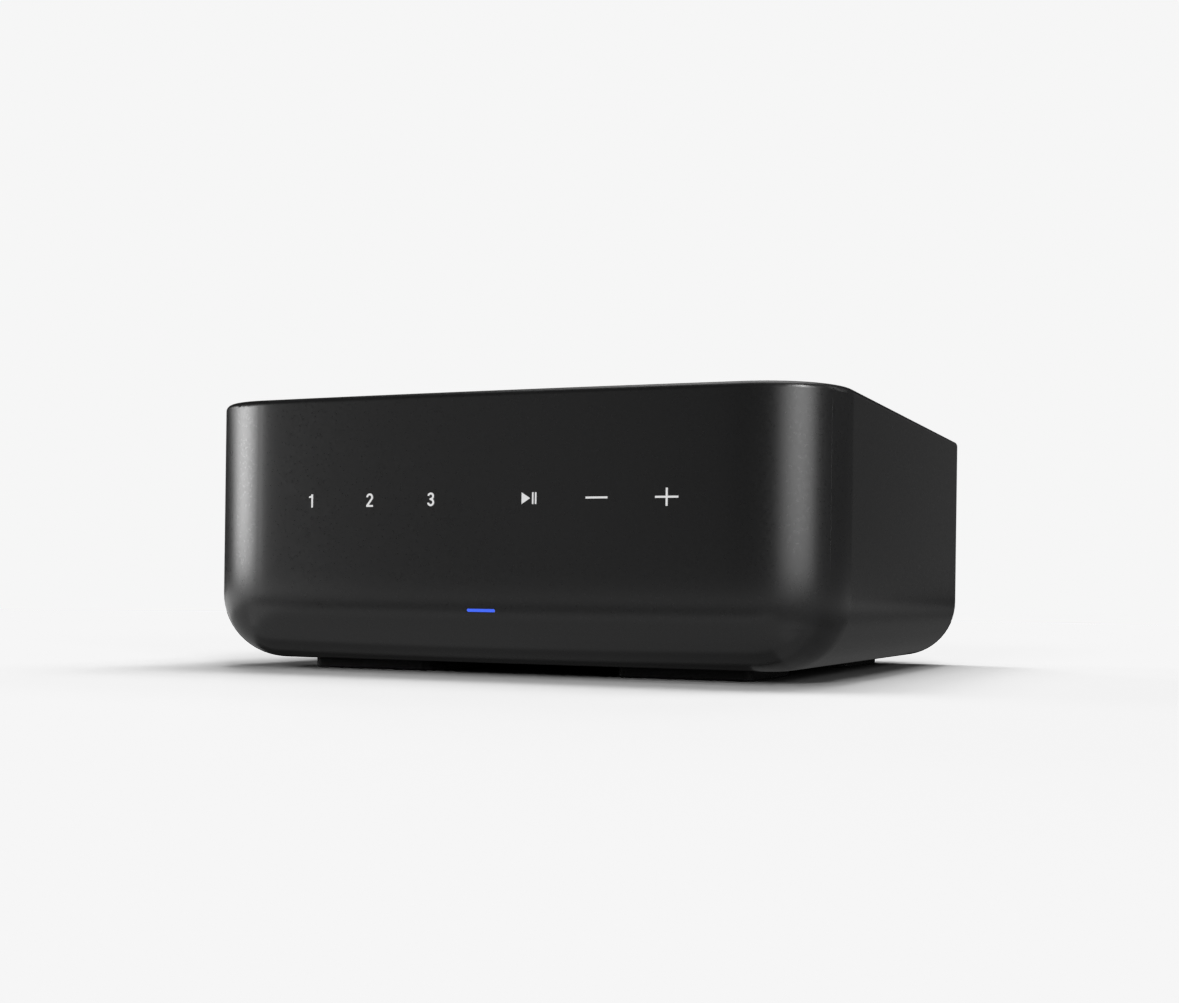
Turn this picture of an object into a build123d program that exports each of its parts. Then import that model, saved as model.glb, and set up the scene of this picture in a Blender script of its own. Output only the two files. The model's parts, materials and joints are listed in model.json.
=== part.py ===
from build123d import *
import math
import os

os.makedirs("parts", exist_ok=True)

# ---------------------------------------------------------------- driving dimensions, mm
# Frame: X to the right seen from the front, Y to the rear, Z up.
# The origin is under the middle of the whole object, on the surface that it stands on.
WIDTH = 217.0            # over the side walls
HEIGHT = 88.0            # over the feet
FRONT_Y = -108.5         # middle of the slightly convex front
BACK_Y = 91.5            # rear edge of the housing
FOOT_H = 3.5             # gap under the body
CORNER_R = 27.0          # vertical front corners
BELLY_R = 21.4           # rolled edge under the front and the sides
TOP_R = 2.0              # soft edge round the top
BOW = 1.54               # how far the front bulges over its flat width
WALL = 2.8               # moulded wall

KEY_Z = 54.7             # height of the row of touch symbols
LED_Z = 20.5             # height of the status light
LED_W, LED_H = 9.6, 0.95
KEY_X = {
    "icon_1": -61.73, "icon_2": -39.73, "icon_3": -17.73,
    "icon_play_pause": 15.92, "icon_minus": 37.92, "icon_plus": 59.93,
}
INLAY = 0.6              # depth of the clear inlays in the front wall

PLATE_T = 1.2            # steel base plate
PLATE_Z0 = FOOT_H + 0.1
PLATE_Z1 = PLATE_Z0 + PLATE_T
PLATE_X = 85.0
PLATE_Y0, PLATE_Y1 = -85.0, 90.0

PANEL_Y0, PANEL_Y1 = 88.3, 89.8   # rear panel, set 1.7 mm inside the housing's edge
PANEL_GAP = 0.25

BASE_SCREWS_HOUSING = [(-24.0, -76.0), (24.0, -76.0), (-80.0, 3.0), (80.0, 3.0)]
BASE_SCREWS_PANEL = [(-24.0, 79.5), (24.0, 79.5)]
REAR_SCREWS = [(-99.5, 68.0), (99.5, 68.0), (-99.5, 36.0), (99.5, 36.0), (-60.0, 80.3), (60.0, 80.3)]
SCREW_R = 1.4            # shank
PILOT_R = 1.45

LOW_Z = 10.8             # underside of the two lower boards
PCB_T = 1.6
MAIN_Z = 52.8            # underside of the streaming board
MAIN_TOP = MAIN_Z + PCB_T
LOW_TOP = LOW_Z + PCB_T

# rear sockets: centre X, centre Z
MAINS_X, MAINS_Z = -70.0, 31.0
LAN_X = -47.0
USB_X = -26.0
HDMI_X = -5.0
OPT_X = 15.0
JACK_X, JACK_Z = 32.0, MAIN_TOP + 5.2
PAIR_X, PAIR_Z = 47.0, MAIN_TOP + 4.4
RCA_X = (-29.0, -15.0)
RCA_Z = (24.0, 38.0)
POST_X = (20.0, 39.0, 58.0, 77.0)
POST_Z = 31.0

STUD_R = 3.0             # binding post stem
BANANA_R = 2.05          # socket for a 4 mm plug
WASHER_Y0, WASHER_Y1 = 93.9, 95.1
NUT_Y0, NUT_Y1 = 95.2, 108.5
NUT_R = 7.3
NUT_BORE_R = 3.05
PORT_R = 2.6             # wire hole across the post
NUT_TRAVEL = 4.0         # five turns of a 0.8 mm thread

FRONT_R = ((WIDTH / 2 - CORNER_R) ** 2 + BOW**2) / (2 * BOW)
ARC_CY = FRONT_Y + FRONT_R


def front_y(x):
    """Y of the convex front at X."""
    return ARC_CY - math.sqrt(FRONT_R**2 - x * x)


def plan_outline(inset, back_y):
    """Closed outline of the body seen from above: bowed front, round corners, straight sides."""
    cx = WIDTH / 2 - CORNER_R
    cy = ARC_CY - math.sqrt((FRONT_R - CORNER_R) ** 2 - cx * cx)
    ux, uy = cx / (FRONT_R - CORNER_R), (cy - ARC_CY) / (FRONT_R - CORNER_R)
    r, big = CORNER_R - inset, FRONT_R - inset
    tx, ty = big * ux, ARC_CY + big * uy
    sx = WIDTH / 2 - inset
    half = math.atan2(uy, ux) / 2
    mx, my = cx + r * math.cos(half), cy + r * math.sin(half)
    ThreePointArc((-tx, ty), (0, FRONT_Y + inset), (tx, ty))
    ThreePointArc((tx, ty), (mx, my), (sx, cy))
    Line((sx, cy), (sx, back_y))
    Line((sx, back_y), (-sx, back_y))
    Line((-sx, back_y), (-sx, cy))
    ThreePointArc((-sx, cy), (-mx, my), (-tx, ty))


def body_form(inset, z0, z1, back_y, belly_r, top_r):
    """The body's form, or its hollow: plan outline with a rolled lower edge and a soft upper one."""
    with BuildPart() as form:
        with BuildSketch(Plane.XY.offset(z0)):
            with BuildLine():
                plan_outline(inset, back_y)
            make_face()
        extrude(amount=z1 - z0)
        low = form.faces().sort_by(Axis.Z)[0].edges().sort_by(Axis.Y)[:-1]
        fillet(low, belly_r)
        if top_r:
            high = form.faces().sort_by(Axis.Z)[-1].edges().sort_by(Axis.Y)[:-1]
            fillet(high, top_r)
    return form.part


OUTER = body_form(0, FOOT_H, HEIGHT, BACK_Y, BELLY_R, TOP_R)
HOLLOW = body_form(WALL, FOOT_H + WALL, HEIGHT - WALL, BACK_Y + 6, BELLY_R - WALL, 0.8)


# ---------------------------------------------------------------- touch symbols, as flat shapes
def arc_band(cx, cz, r, a0, a1, w, n=22):
    """Curved stroke of width w along an arc, from angle a0 to a1 in degrees."""
    angles = [math.radians(a0 + (a1 - a0) * i / n) for i in range(n + 1)]
    outer = [(cx + (r + w / 2) * math.cos(a), cz + (r + w / 2) * math.sin(a)) for a in angles]
    inner = [(cx + (r - w / 2) * math.cos(a), cz + (r - w / 2) * math.sin(a)) for a in reversed(angles)]
    Polygon(*(outer + inner), align=None)


def draw_symbol(name, cx, cz):
    """One symbol round (cx, cz) in the sketch that is open."""
    with Locations((cx, cz)):
        if name == "icon_1":
            Polygon((0.72, 2.12), (0.72, -2.12), (0.10, -2.12), (0.10, 0.98), (-0.80, 0.98),
                    (-0.80, 1.46), (-0.42, 1.50), (-0.08, 1.68), (0.16, 2.12), align=None)
        elif name == "icon_2":
            Polygon((1.077, 0.327), (0.53, 0.618), (-1.22, -1.60), (-1.22, -2.12),
                    (1.22, -2.12), (1.22, -1.54), (-0.33, -1.54), align=None)
        elif name == "icon_play_pause":
            Polygon((-2.44, 1.78), (-2.44, -1.78), (0.38, 0.0), align=None)
        elif name == "icon_minus":
            Rectangle(7.0, 0.6)
        elif name == "icon_plus":
            Rectangle(7.2, 0.6)
            Rectangle(0.6, 5.3)
    if name == "icon_play_pause":
        with Locations((cx + 1.27, cz), (cx + 2.22, cz)):
            Rectangle(0.5, 3.56)
    if name == "icon_2":
        arc_band(cx, cz + 0.90, 0.91, -36, 178, 0.62)
    if name == "icon_3":
        arc_band(cx, cz + 0.985, 0.825, -94, 172, 0.62)
        arc_band(cx, cz - 0.90, 0.91, -172, 94, 0.62)
        with Locations((cx - 0.13, cz + 0.10)):
            Rectangle(0.50, 0.50)


def symbol_prism(name):
    """The symbol as a prism from in front of the body to the inlay's depth."""
    cx = KEY_X[name]
    floor_y = front_y(cx) + INLAY
    with BuildPart() as prism:
        with BuildSketch(Plane.XZ.offset(112.0)):
            draw_symbol(name, cx, KEY_Z)
        extrude(amount=-(floor_y + 112.0))
    return prism.part


SYMBOLS = {name: symbol_prism(name) for name in KEY_X}

with BuildPart() as led_bar_cut:
    with BuildSketch(Plane.XZ.offset(112.0)):
        with Locations((0, LED_Z)):
            SlotOverall(LED_W, LED_H)
    extrude(amount=-8.0)
LED_PRISM = led_bar_cut.part


def finish(part, name):
    part.label = name
    export_step(part, "parts/" + name + ".step")


# ================================================================ CASING
# One moulded piece: front, top, sides and their rolled lower edges, open at the rear and below.
with BuildPart() as main_housing:
    add(OUTER)
    rear_rim = main_housing.faces().sort_by(Axis.Y)[-1].edges().sort_by(Axis.Z)[1:]
    chamfer(rear_rim, 0.35)
    add(HOLLOW, mode=Mode.SUBTRACT)
    # opening in the underside, and the rebate that takes the base plate
    with BuildSketch(Plane.XY.offset(FOOT_H - 1)):
        with Locations((0, (BACK_Y + 6 - 82.0) / 2)):
            RectangleRounded(164.0, BACK_Y + 6 + 82.0, 4.0)
    extrude(amount=WALL + 3, mode=Mode.SUBTRACT)
    with BuildSketch(Plane.XY.offset(FOOT_H - 1)):
        with Locations((0, (BACK_Y + 6 - 85.2) / 2)):
            RectangleRounded(170.4, BACK_Y + 6 + 85.2, 3.2)
    extrude(amount=PLATE_Z1 - FOOT_H + 1, mode=Mode.SUBTRACT)
    # long bosses from the roof down to the base plate
    with BuildSketch(Plane.XY.offset(PLATE_Z1)):
        with Locations(*BASE_SCREWS_HOUSING):
            Circle(4.0)
    extrude(amount=HEIGHT - 1.0 - PLATE_Z1)
    # webs that tie the two side bosses to the walls
    with BuildSketch(Plane.XY.offset(20.0)):
        with Locations((-95.0, 3.0), (95.0, 3.0)):
            Rectangle(24.0, 1.6)
    extrude(amount=30.0)
    with BuildSketch(Plane.XY.offset(PLATE_Z1)):
        with Locations(*BASE_SCREWS_HOUSING):
            Circle(PILOT_R)
    extrude(amount=9.0, mode=Mode.SUBTRACT)
    # bosses for the rear panel, each tied to the nearest wall
    with BuildSketch(Plane.XZ.offset(-PANEL_Y0)):
        with Locations(*REAR_SCREWS):
            Circle(3.4)
        with Locations((-103.0, 68.0), (103.0, 68.0), (-103.0, 36.0), (103.0, 36.0)):
            Rectangle(7.0, 3.0)
        with Locations((-60.0, 83.5), (60.0, 83.5)):
            Rectangle(3.0, 5.0)
    extrude(amount=13.0)
    with BuildSketch(Plane.XZ.offset(-PANEL_Y0)):
        with Locations(*REAR_SCREWS):
            Circle(PILOT_R)
    extrude(amount=11.0, mode=Mode.SUBTRACT)
    # ribs that the light frame behind the symbols snaps between
    with BuildSketch(Plane.XY.offset(44.0)):
        with Locations((-80.5, -100.2), (80.5, -100.2)):
            Rectangle(2.0, 10.0)
    extrude(amount=21.5)
    # pockets for the symbols and the slot for the status light
    for prism in SYMBOLS.values():
        add(prism, mode=Mode.SUBTRACT)
    add(LED_PRISM, mode=Mode.SUBTRACT)
finish(main_housing.part, "main_housing")

# Flat steel plate with air slots; it carries the feet and everything inside.
with BuildPart() as base_plate:
    with BuildSketch(Plane.XY.offset(PLATE_Z0)):
        with Locations((0, (PLATE_Y0 + PLATE_Y1) / 2)):
            RectangleRounded(2 * PLATE_X, PLATE_Y1 - PLATE_Y0, 3.0)
        with Locations((0, 0)):
            with GridLocations(6.0, 38.0, 9, 3):
                SlotOverall(26.0, 2.6, rotation=90, mode=Mode.SUBTRACT)
        with Locations((-54, 2), (54, 2)):
            with GridLocations(6.0, 1.0, 7, 1):
                SlotOverall(44.0, 2.6, rotation=90, mode=Mode.SUBTRACT)
    extrude(amount=PLATE_T)
    for sx, sy in BASE_SCREWS_HOUSING + BASE_SCREWS_PANEL:
        with BuildSketch(Plane.XZ.offset(-sy)):
            with BuildLine():
                Polyline((sx, PLATE_Z0 - 0.5), (sx + 3.0, PLATE_Z0 - 0.5), (sx + 3.0, PLATE_Z0),
                         (sx + 1.6, PLATE_Z1), (sx + 1.6, PLATE_Z1 + 0.5), (sx, PLATE_Z1 + 0.5), close=True)
            make_face()
        revolve(axis=Axis((sx, sy, 0), (0, 0, 1)), mode=Mode.SUBTRACT)
finish(base_plate.part, "base_plate")

# Vertical steel panel that closes the rear, with a flange turned in under the boards.
VENT_X = [(-52.0 + 4.0 * i) for i in range(27)]
with BuildPart() as rear_panel:
    with BuildSketch(Plane.XZ.offset(-PANEL_Y0)):
        px = WIDTH / 2 - WALL - PANEL_GAP
        pz0, pz1 = FOOT_H + WALL + PANEL_GAP, HEIGHT - WALL - PANEL_GAP
        with Locations((0, (pz0 + pz1) / 2)):
            outline = Rectangle(2 * px, pz1 - pz0)
        fillet(outline.vertices().sort_by(Axis.Y)[:2], BELLY_R - WALL - PANEL_GAP)
        with Locations((0, (PLATE_Z1 + pz0 + 1) / 2)):
            Rectangle(163.0, pz0 + 1 - PLATE_Z1)
        # openings for the sockets
        with Locations((MAINS_X, MAINS_Z)):
            Rectangle(28.0, 20.0, mode=Mode.SUBTRACT)
        with Locations((LAN_X, MAIN_TOP + 6.85)):
            Rectangle(16.6, 14.1, mode=Mode.SUBTRACT)
        with Locations((USB_X, MAIN_TOP + 3.4)):
            Rectangle(14.0, 6.7, mode=Mode.SUBTRACT)
        with Locations((HDMI_X, MAIN_TOP + 3.4)):
            Rectangle(15.9, 6.5, mode=Mode.SUBTRACT)
        with Locations((OPT_X, MAIN_TOP + 5.2)):
            Rectangle(10.4, 10.8, mode=Mode.SUBTRACT)
        with Locations((JACK_X, JACK_Z)):
            Circle(4.15, mode=Mode.SUBTRACT)
        with Locations((PAIR_X, PAIR_Z)):
            Circle(2.3, mode=Mode.SUBTRACT)
        with Locations(*[(x, z) for x in RCA_X for z in RCA_Z]):
            Circle(5.15, mode=Mode.SUBTRACT)
        with Locations(*[(x, POST_Z) for x in POST_X]):
            Circle(5.2, mode=Mode.SUBTRACT)
        with Locations(*REAR_SCREWS):
            Circle(1.7, mode=Mode.SUBTRACT)
        with Locations(*[(x, 74.6) for x in VENT_X]):
            SlotOverall(8.0, 2.0, rotation=90, mode=Mode.SUBTRACT)
    extrude(amount=-(PANEL_Y1 - PANEL_Y0))
    with BuildSketch(Plane.XY.offset(PLATE_Z1)):
        with Locations((0, (74.0 + PANEL_Y0 + 0.5) / 2)):
            Rectangle(160.0, PANEL_Y0 + 0.5 - 74.0)
        with Locations(*BASE_SCREWS_PANEL):
            Circle(PILOT_R, mode=Mode.SUBTRACT)
    extrude(amount=1.2)
finish(rear_panel.part, "rear_panel")

# Four low pads under the base plate.
FEET = {
    "foot_front_left": (-55.6, -57.85, 43.1),
    "foot_front_right": (55.6, -57.85, 43.1),
    "foot_rear_left": (-55.6, 65.6, 47.4),
    "foot_rear_right": (55.6, 65.6, 47.4),
}
FOOT_W = 44.4
for foot_name, (fx, fy, flen) in FEET.items():
    with BuildPart() as foot:
        with BuildSketch(Plane.XY):
            with Locations((fx, fy)):
                RectangleRounded(FOOT_W, flen, 3.0)
        extrude(amount=PLATE_Z0)
        chamfer(foot.faces().sort_by(Axis.Z)[0].edges(), 0.35)
    finish(foot.part, foot_name)

# ================================================================ FRONT: SYMBOLS, LIGHT, TOUCH BOARD
# Clear inlays that fill the pockets flush with the bowed front.
for icon_name, prism in SYMBOLS.items():
    with BuildPart() as icon:
        add(prism)
        add(OUTER, mode=Mode.INTERSECT)
    finish(icon.part, icon_name)

# Light bar: shows as a thin line in the front, with a flange against the inside of the wall.
with BuildPart() as status_light_guide:
    add(LED_PRISM)
    add(OUTER, mode=Mode.INTERSECT)
    with BuildSketch(Plane.XZ.offset(104.2)):
        with Locations((0, LED_Z)):
            RectangleRounded(13.0, 4.2, 1.0)
    extrude(amount=-2.0)
finish(status_light_guide.part, "status_light_guide")

# White frame that keeps each symbol's light apart.
with BuildPart() as touch_light_frame:
    with BuildSketch(Plane.XZ.offset(106.5)):
        with Locations((0, KEY_Z)):
            Rectangle(158.6, 17.0)
        with Locations(*[(x, KEY_Z) for x in KEY_X.values()]):
            Rectangle(10.0, 8.0, mode=Mode.SUBTRACT)
        with Locations((-72.0, KEY_Z), (-50.7, KEY_Z), (-28.7, KEY_Z), (-1.0, KEY_Z), (27.0, KEY_Z), (49.0, KEY_Z), (72.0, KEY_Z)):
            Rectangle(4.0, 11.0, mode=Mode.SUBTRACT)
    extrude(amount=-5.0)
    add(HOLLOW, mode=Mode.INTERSECT)
finish(touch_light_frame.part, "touch_light_frame")

# T-shaped board behind the frame; its tongue reaches down to the status light.
with BuildPart() as touch_board:
    with BuildSketch(Plane.XZ.offset(101.5)):
        with Locations((0, KEY_Z)):
            RectangleRounded(156.0, 17.0, 1.0)
        with Locations((0, 31.5)):
            RectangleRounded(16.0, 31.0, 1.0)
        with Locations((-74.0, KEY_Z), (74.0, KEY_Z)):
            Circle(1.3, mode=Mode.SUBTRACT)
    extrude(amount=-PCB_T)
    # lamps on its front side, one behind each symbol and one at the light bar
    with BuildSketch(Plane.XZ.offset(102.3)):
        with Locations(*[(x, KEY_Z) for x in KEY_X.values()]):
            Rectangle(3.0, 1.4)
    extrude(amount=-0.8)
    with BuildSketch(Plane.XZ.offset(102.1)):
        with Locations((0, LED_Z)):
            Rectangle(3.5, 1.6)
    extrude(amount=-0.6)
    # parts on its rear side: touch controller, connector
    with BuildSketch(Plane.XZ.offset(99.9)):
        with Locations((30.0, KEY_Z)):
            Rectangle(7.0, 7.0)
        with Locations((0, KEY_Z - 3.0)):
            Rectangle(15.0, 3.6)
    extrude(amount=-1.2)
finish(touch_board.part, "touch_board")

# Flat cable from the touch board back to the streaming board.
with BuildPart() as touch_ribbon:
    with BuildLine() as ribbon_path:
        FilletPolyline((0, -98.6, 51.7), (0, -92.0, 51.7), (0, -86.0, 78.0), (0, -40.0, 80.0),
                       (0, 14.0, 78.0), (0, 24.0, 56.2), (0, 31.8, 56.2), radius=[3.0, 6.0, 60.0, 8.0, 3.0])
    with BuildSketch(Plane(origin=(0, -98.6, 51.7), x_dir=(1, 0, 0), z_dir=(0, 1, 0))):
        Rectangle(12.0, 0.3)
    sweep(path=ribbon_path.line)
finish(touch_ribbon.part, "touch_ribbon")

# ================================================================ STREAMING BOARD (upper, rear)
MAIN_X0, MAIN_X1, MAIN_Y0, MAIN_Y1 = -62.0, 66.0, 30.0, 86.5
MAIN_POSTS = [(-37.0, 66.0), (3.0, 68.0), (-46.0, 46.0), (60.0, 46.0), (48.5, 66.0)]
with BuildPart() as main_board:
    with BuildSketch(Plane.XY.offset(MAIN_Z)):
        with Locations(((MAIN_X0 + MAIN_X1) / 2, (MAIN_Y0 + MAIN_Y1) / 2)):
            RectangleRounded(MAIN_X1 - MAIN_X0, MAIN_Y1 - MAIN_Y0, 1.5)
        with Locations(*MAIN_POSTS):
            Circle(1.6, mode=Mode.SUBTRACT)
    extrude(amount=PCB_T)
    # memory, converter and network parts, and the flat cable's socket
    with BuildSketch(Plane.XY.offset(MAIN_TOP)):
        with Locations((-34.0, 42.0), (-34.0, 54.0)):
            Rectangle(9.0, 8.0)
        with Locations((30.0, 62.0)):
            Rectangle(8.0, 8.0)
        with Locations((-24.0, 64.5)):
            Rectangle(14.0, 6.0)
    extrude(amount=1.1)
    with BuildSketch(Plane.XY.offset(MAIN_TOP)):
        with Locations((0, 34.0)):
            Rectangle(16.0, 4.2)
    extrude(amount=3.0)
    # processor under its shield
    with BuildSketch(Plane.XY.offset(MAIN_TOP)):
        with Locations((0, 51.0)):
            RectangleRounded(30.0, 24.0, 1.0)
    extrude(amount=2.6)
    # small switch behind the pairing button
    with BuildSketch(Plane.XZ.offset(-83.7)):
        with Locations((PAIR_X, MAIN_TOP + 4.4)):
            Rectangle(6.0, 8.8)
    extrude(amount=3.5)
finish(main_board.part, "main_board")

with BuildPart() as processor_heatsink:
    with BuildSketch(Plane.XY.offset(MAIN_TOP + 2.6)):
        with Locations((0, 51.0)):
            Rectangle(26.0, 22.0)
    extrude(amount=2.0)
    with BuildSketch(Plane.XY.offset(MAIN_TOP + 4.6)):
        with Locations((0, 51.0)):
            with GridLocations(3.0, 1.0, 9, 1):
                Rectangle(1.0, 22.0)
    extrude(amount=8.0)
finish(processor_heatsink.part, "processor_heatsink")

with BuildPart() as wifi_module:
    with BuildSketch(Plane.XY.offset(MAIN_TOP)):
        with Locations((38.0, 44.0)):
            RectangleRounded(16.0, 14.0, 0.6)
    extrude(amount=2.2)
    with BuildSketch(Plane.XY.offset(MAIN_TOP + 2.2)):
        with Locations((34.0, 40.0), (42.0, 40.0)):
            Circle(1.2)
    extrude(amount=1.2)
finish(wifi_module.part, "wifi_module")

# Thin aerials stuck to the inside of the two side walls.
with BuildPart() as antennas:
    with BuildSketch(Plane.YZ.offset(WIDTH / 2 - WALL - 0.4)):
        with Locations((-22.0, 62.0)):
            RectangleRounded(38.0, 11.0, 1.0)
    extrude(amount=0.4)
    mirror(about=Plane.YZ)
finish(antennas.part, "antennas")

# Thin coaxial leads from the aerials to the radio.
with BuildPart() as antenna_leads:
    for side, end_x in ((1, 42.0), (-1, 34.0)):
        wall_x = side * (WIDTH / 2 - WALL - 0.4 - 1.0)
        with BuildLine() as lead_path:
            FilletPolyline((wall_x, -22.0, 62.0), (wall_x, 4.0, 70.0), (side * 92.0, 24.0, 72.5),
                           (end_x + side * 14.0, 36.0, 72.0), (end_x, 40.0, 66.0), (end_x, 40.0, MAIN_TOP + 3.4),
                           radius=[9.0, 9.0, 9.0, 3.0])
        with BuildSketch(Plane(origin=lead_path.line @ 0, z_dir=lead_path.line % 0)):
            Circle(0.6)
        sweep(path=lead_path.line)
finish(antenna_leads.part, "antenna_leads")

# ================================================================ POWER AMPLIFIER BOARD (lower right)
AMP_X0, AMP_X1, LOW_Y0, LOW_Y1 = 6.0, 74.0, -58.0, 40.0
PSU_X0, PSU_X1 = -74.0, -14.0
AMP_POSTS = [(AMP_X0 + 4, LOW_Y0 + 4), (AMP_X1 - 4, LOW_Y0 + 4), (AMP_X0 + 4, LOW_Y1 - 4), (AMP_X1 - 4, LOW_Y1 - 4)]
PSU_POSTS = [(PSU_X0 + 4, LOW_Y0 + 4), (PSU_X1 - 4, LOW_Y0 + 4), (PSU_X0 + 4, LOW_Y1 - 4), (PSU_X1 - 4, LOW_Y1 - 4)]

with BuildPart() as amp_board:
    with BuildSketch(Plane.XY.offset(LOW_Z)):
        with Locations(((AMP_X0 + AMP_X1) / 2, (LOW_Y0 + LOW_Y1) / 2)):
            RectangleRounded(AMP_X1 - AMP_X0, LOW_Y1 - LOW_Y0, 1.5)
        with Locations(*AMP_POSTS):
            Circle(1.6, mode=Mode.SUBTRACT)
    extrude(amount=PCB_T)
    # the two power stages under the heatsink
    with BuildSketch(Plane.XY.offset(LOW_TOP)):
        with Locations((28.0, -14.0), (52.0, -14.0)):
            Rectangle(14.0, 10.0)
    extrude(amount=1.6)
    # output connectors along the rear edge
    with BuildSketch(Plane.XY.offset(LOW_TOP)):
        with Locations((26.0, 35.0), (54.0, 35.0)):
            Rectangle(16.0, 8.0)
    extrude(amount=9.0)
finish(amp_board.part, "amp_board")

with BuildPart() as amp_heatsink:
    with BuildSketch(Plane.XY.offset(LOW_TOP + 1.6)):
        with Locations((40.0, -14.0)):
            Rectangle(52.0, 34.0)
    extrude(amount=4.0)
    with BuildSketch(Plane.XY.offset(LOW_TOP + 5.6)):
        with Locations((40.0, -14.0)):
            with GridLocations(4.25, 1.0, 13, 1):
                Rectangle(1.4, 34.0)
    extrude(amount=24.0)
finish(amp_heatsink.part, "amp_heatsink")

with BuildPart() as amp_inductors:
    with BuildSketch(Plane.XY.offset(LOW_TOP)):
        with Locations((16.0, 16.0), (32.0, 16.0), (48.0, 16.0), (64.0, 16.0)):
            RectangleRounded(12.5, 12.5, 1.5)
    extrude(amount=10.0)
    chamfer(amp_inductors.faces().filter_by(Axis.Z).sort_by(Axis.Z)[-4:].edges(), 0.6)
finish(amp_inductors.part, "amp_inductors")

with BuildPart() as amp_capacitors:
    with BuildSketch(Plane.XY.offset(LOW_TOP)):
        with Locations((20.0, -46.0), (36.0, -46.0), (52.0, -46.0)):
            Circle(6.3)
    extrude(amount=25.0)
    with BuildSketch(Plane.XY.offset(LOW_TOP)):
        with Locations((24.0, 26.0), (40.0, 26.0), (56.0, 26.0)):
            Rectangle(7.5, 3.5)
    extrude(amount=7.0)
finish(amp_capacitors.part, "amp_capacitors")

# ================================================================ POWER SUPPLY (lower left)
with BuildPart() as psu_board:
    with BuildSketch(Plane.XY.offset(LOW_Z)):
        with Locations(((PSU_X0 + PSU_X1) / 2, (LOW_Y0 + LOW_Y1) / 2)):
            RectangleRounded(PSU_X1 - PSU_X0, LOW_Y1 - LOW_Y0, 1.5)
        with Locations(*PSU_POSTS):
            Circle(1.6, mode=Mode.SUBTRACT)
    extrude(amount=PCB_T)
    with BuildSketch(Plane.XY.offset(LOW_TOP)):
        with Locations((-58.0, 34.0)):
            Rectangle(13.0, 8.0)
        with Locations((-34.0, -52.5)):
            Rectangle(18.0, 8.0)
    extrude(amount=9.0)
finish(psu_board.part, "psu_board")

with BuildPart() as psu_transformer:
    # ferrite core in two flat halves' outline, with the winding bobbin through it
    with BuildSketch(Plane.XY.offset(LOW_TOP + 3.0)):
        with Locations((-38.0, -18.0)):
            Rectangle(34.0, 12.0)
    extrude(amount=26.0)
    with BuildSketch(Plane.XY.offset(LOW_TOP)):
        with Locations((-38.0, -18.0)):
            Rectangle(26.0, 28.0)
    extrude(amount=5.0)
    with BuildSketch(Plane.XY.offset(LOW_TOP + 5.0)):
        with Locations((-38.0, -18.0)):
            RectangleRounded(24.0, 26.0, 6.0)
    extrude(amount=20.0)
finish(psu_transformer.part, "psu_transformer")

with BuildPart() as psu_capacitors:
    with BuildSketch(Plane.XY.offset(LOW_TOP)):
        with Locations((-62.0, -4.0), (-62.0, 16.0)):
            Circle(9.0)
    extrude(amount=32.0)
    with BuildSketch(Plane.XY.offset(LOW_TOP)):
        with Locations((-40.0, 10.0)):
            Rectangle(18.0, 8.5)
        with Locations((-26.0, -42.0), (-42.0, -42.0)):
            Circle(5.0)
    extrude(amount=16.0)
finish(psu_capacitors.part, "psu_capacitors")

with BuildPart() as psu_heatsink:
    with BuildSketch(Plane.XY.offset(LOW_TOP)):
        with Locations((-18.4, -14.0)):
            Rectangle(3.0, 44.0)
    extrude(amount=28.0)
finish(psu_heatsink.part, "psu_heatsink")

# Ring choke standing on its edge at the mains side.
with BuildPart() as psu_choke:
    with BuildSketch(Plane.XZ.offset(-24.0)):
        with Locations((-34.0, LOW_TOP + 10.5)):
            Circle(10.4)
            Circle(4.0, mode=Mode.SUBTRACT)
    extrude(amount=-9.0)
    fillet(psu_choke.edges().filter_by(GeomType.CIRCLE), 2.0)
finish(psu_choke.part, "psu_choke")

# Thin insulating sheet between the live board and the steel plate.
with BuildPart() as psu_insulator:
    with BuildSketch(Plane.XY.offset(PLATE_Z1)):
        with Locations(((PSU_X0 + PSU_X1) / 2, (LOW_Y0 + LOW_Y1) / 2)):
            RectangleRounded(PSU_X1 - PSU_X0 + 4.0, LOW_Y1 - LOW_Y0 + 4.0, 2.0)
        with Locations(*PSU_POSTS):
            Circle(3.6, mode=Mode.SUBTRACT)
    extrude(amount=0.4)
finish(psu_insulator.part, "psu_insulator")

# Hexagonal spacers that carry the three boards.
with BuildPart() as board_standoffs:
    with BuildSketch(Plane.XY.offset(PLATE_Z1)):
        with Locations(*(AMP_POSTS + PSU_POSTS)):
            RegularPolygon(3.0, 6)
            Circle(1.3, mode=Mode.SUBTRACT)
    extrude(amount=LOW_Z - PLATE_Z1)
    with BuildSketch(Plane.XY.offset(PLATE_Z1)):
        with Locations(*MAIN_POSTS):
            RegularPolygon(3.0, 6)
            Circle(1.3, mode=Mode.SUBTRACT)
    extrude(amount=MAIN_Z - PLATE_Z1)
finish(board_standoffs.part, "board_standoffs")

with BuildPart() as board_screws:
    for top_z, places in ((LOW_TOP, AMP_POSTS + PSU_POSTS), (MAIN_TOP, MAIN_POSTS)):
        with BuildSketch(Plane.XY.offset(top_z)):
            with Locations(*places):
                Circle(2.7)
        extrude(amount=1.8)
        with BuildSketch(Plane.XY.offset(top_z)):
            with Locations(*places):
                Circle(1.25)
        extrude(amount=-5.0)
finish(board_screws.part, "board_screws")

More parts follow.
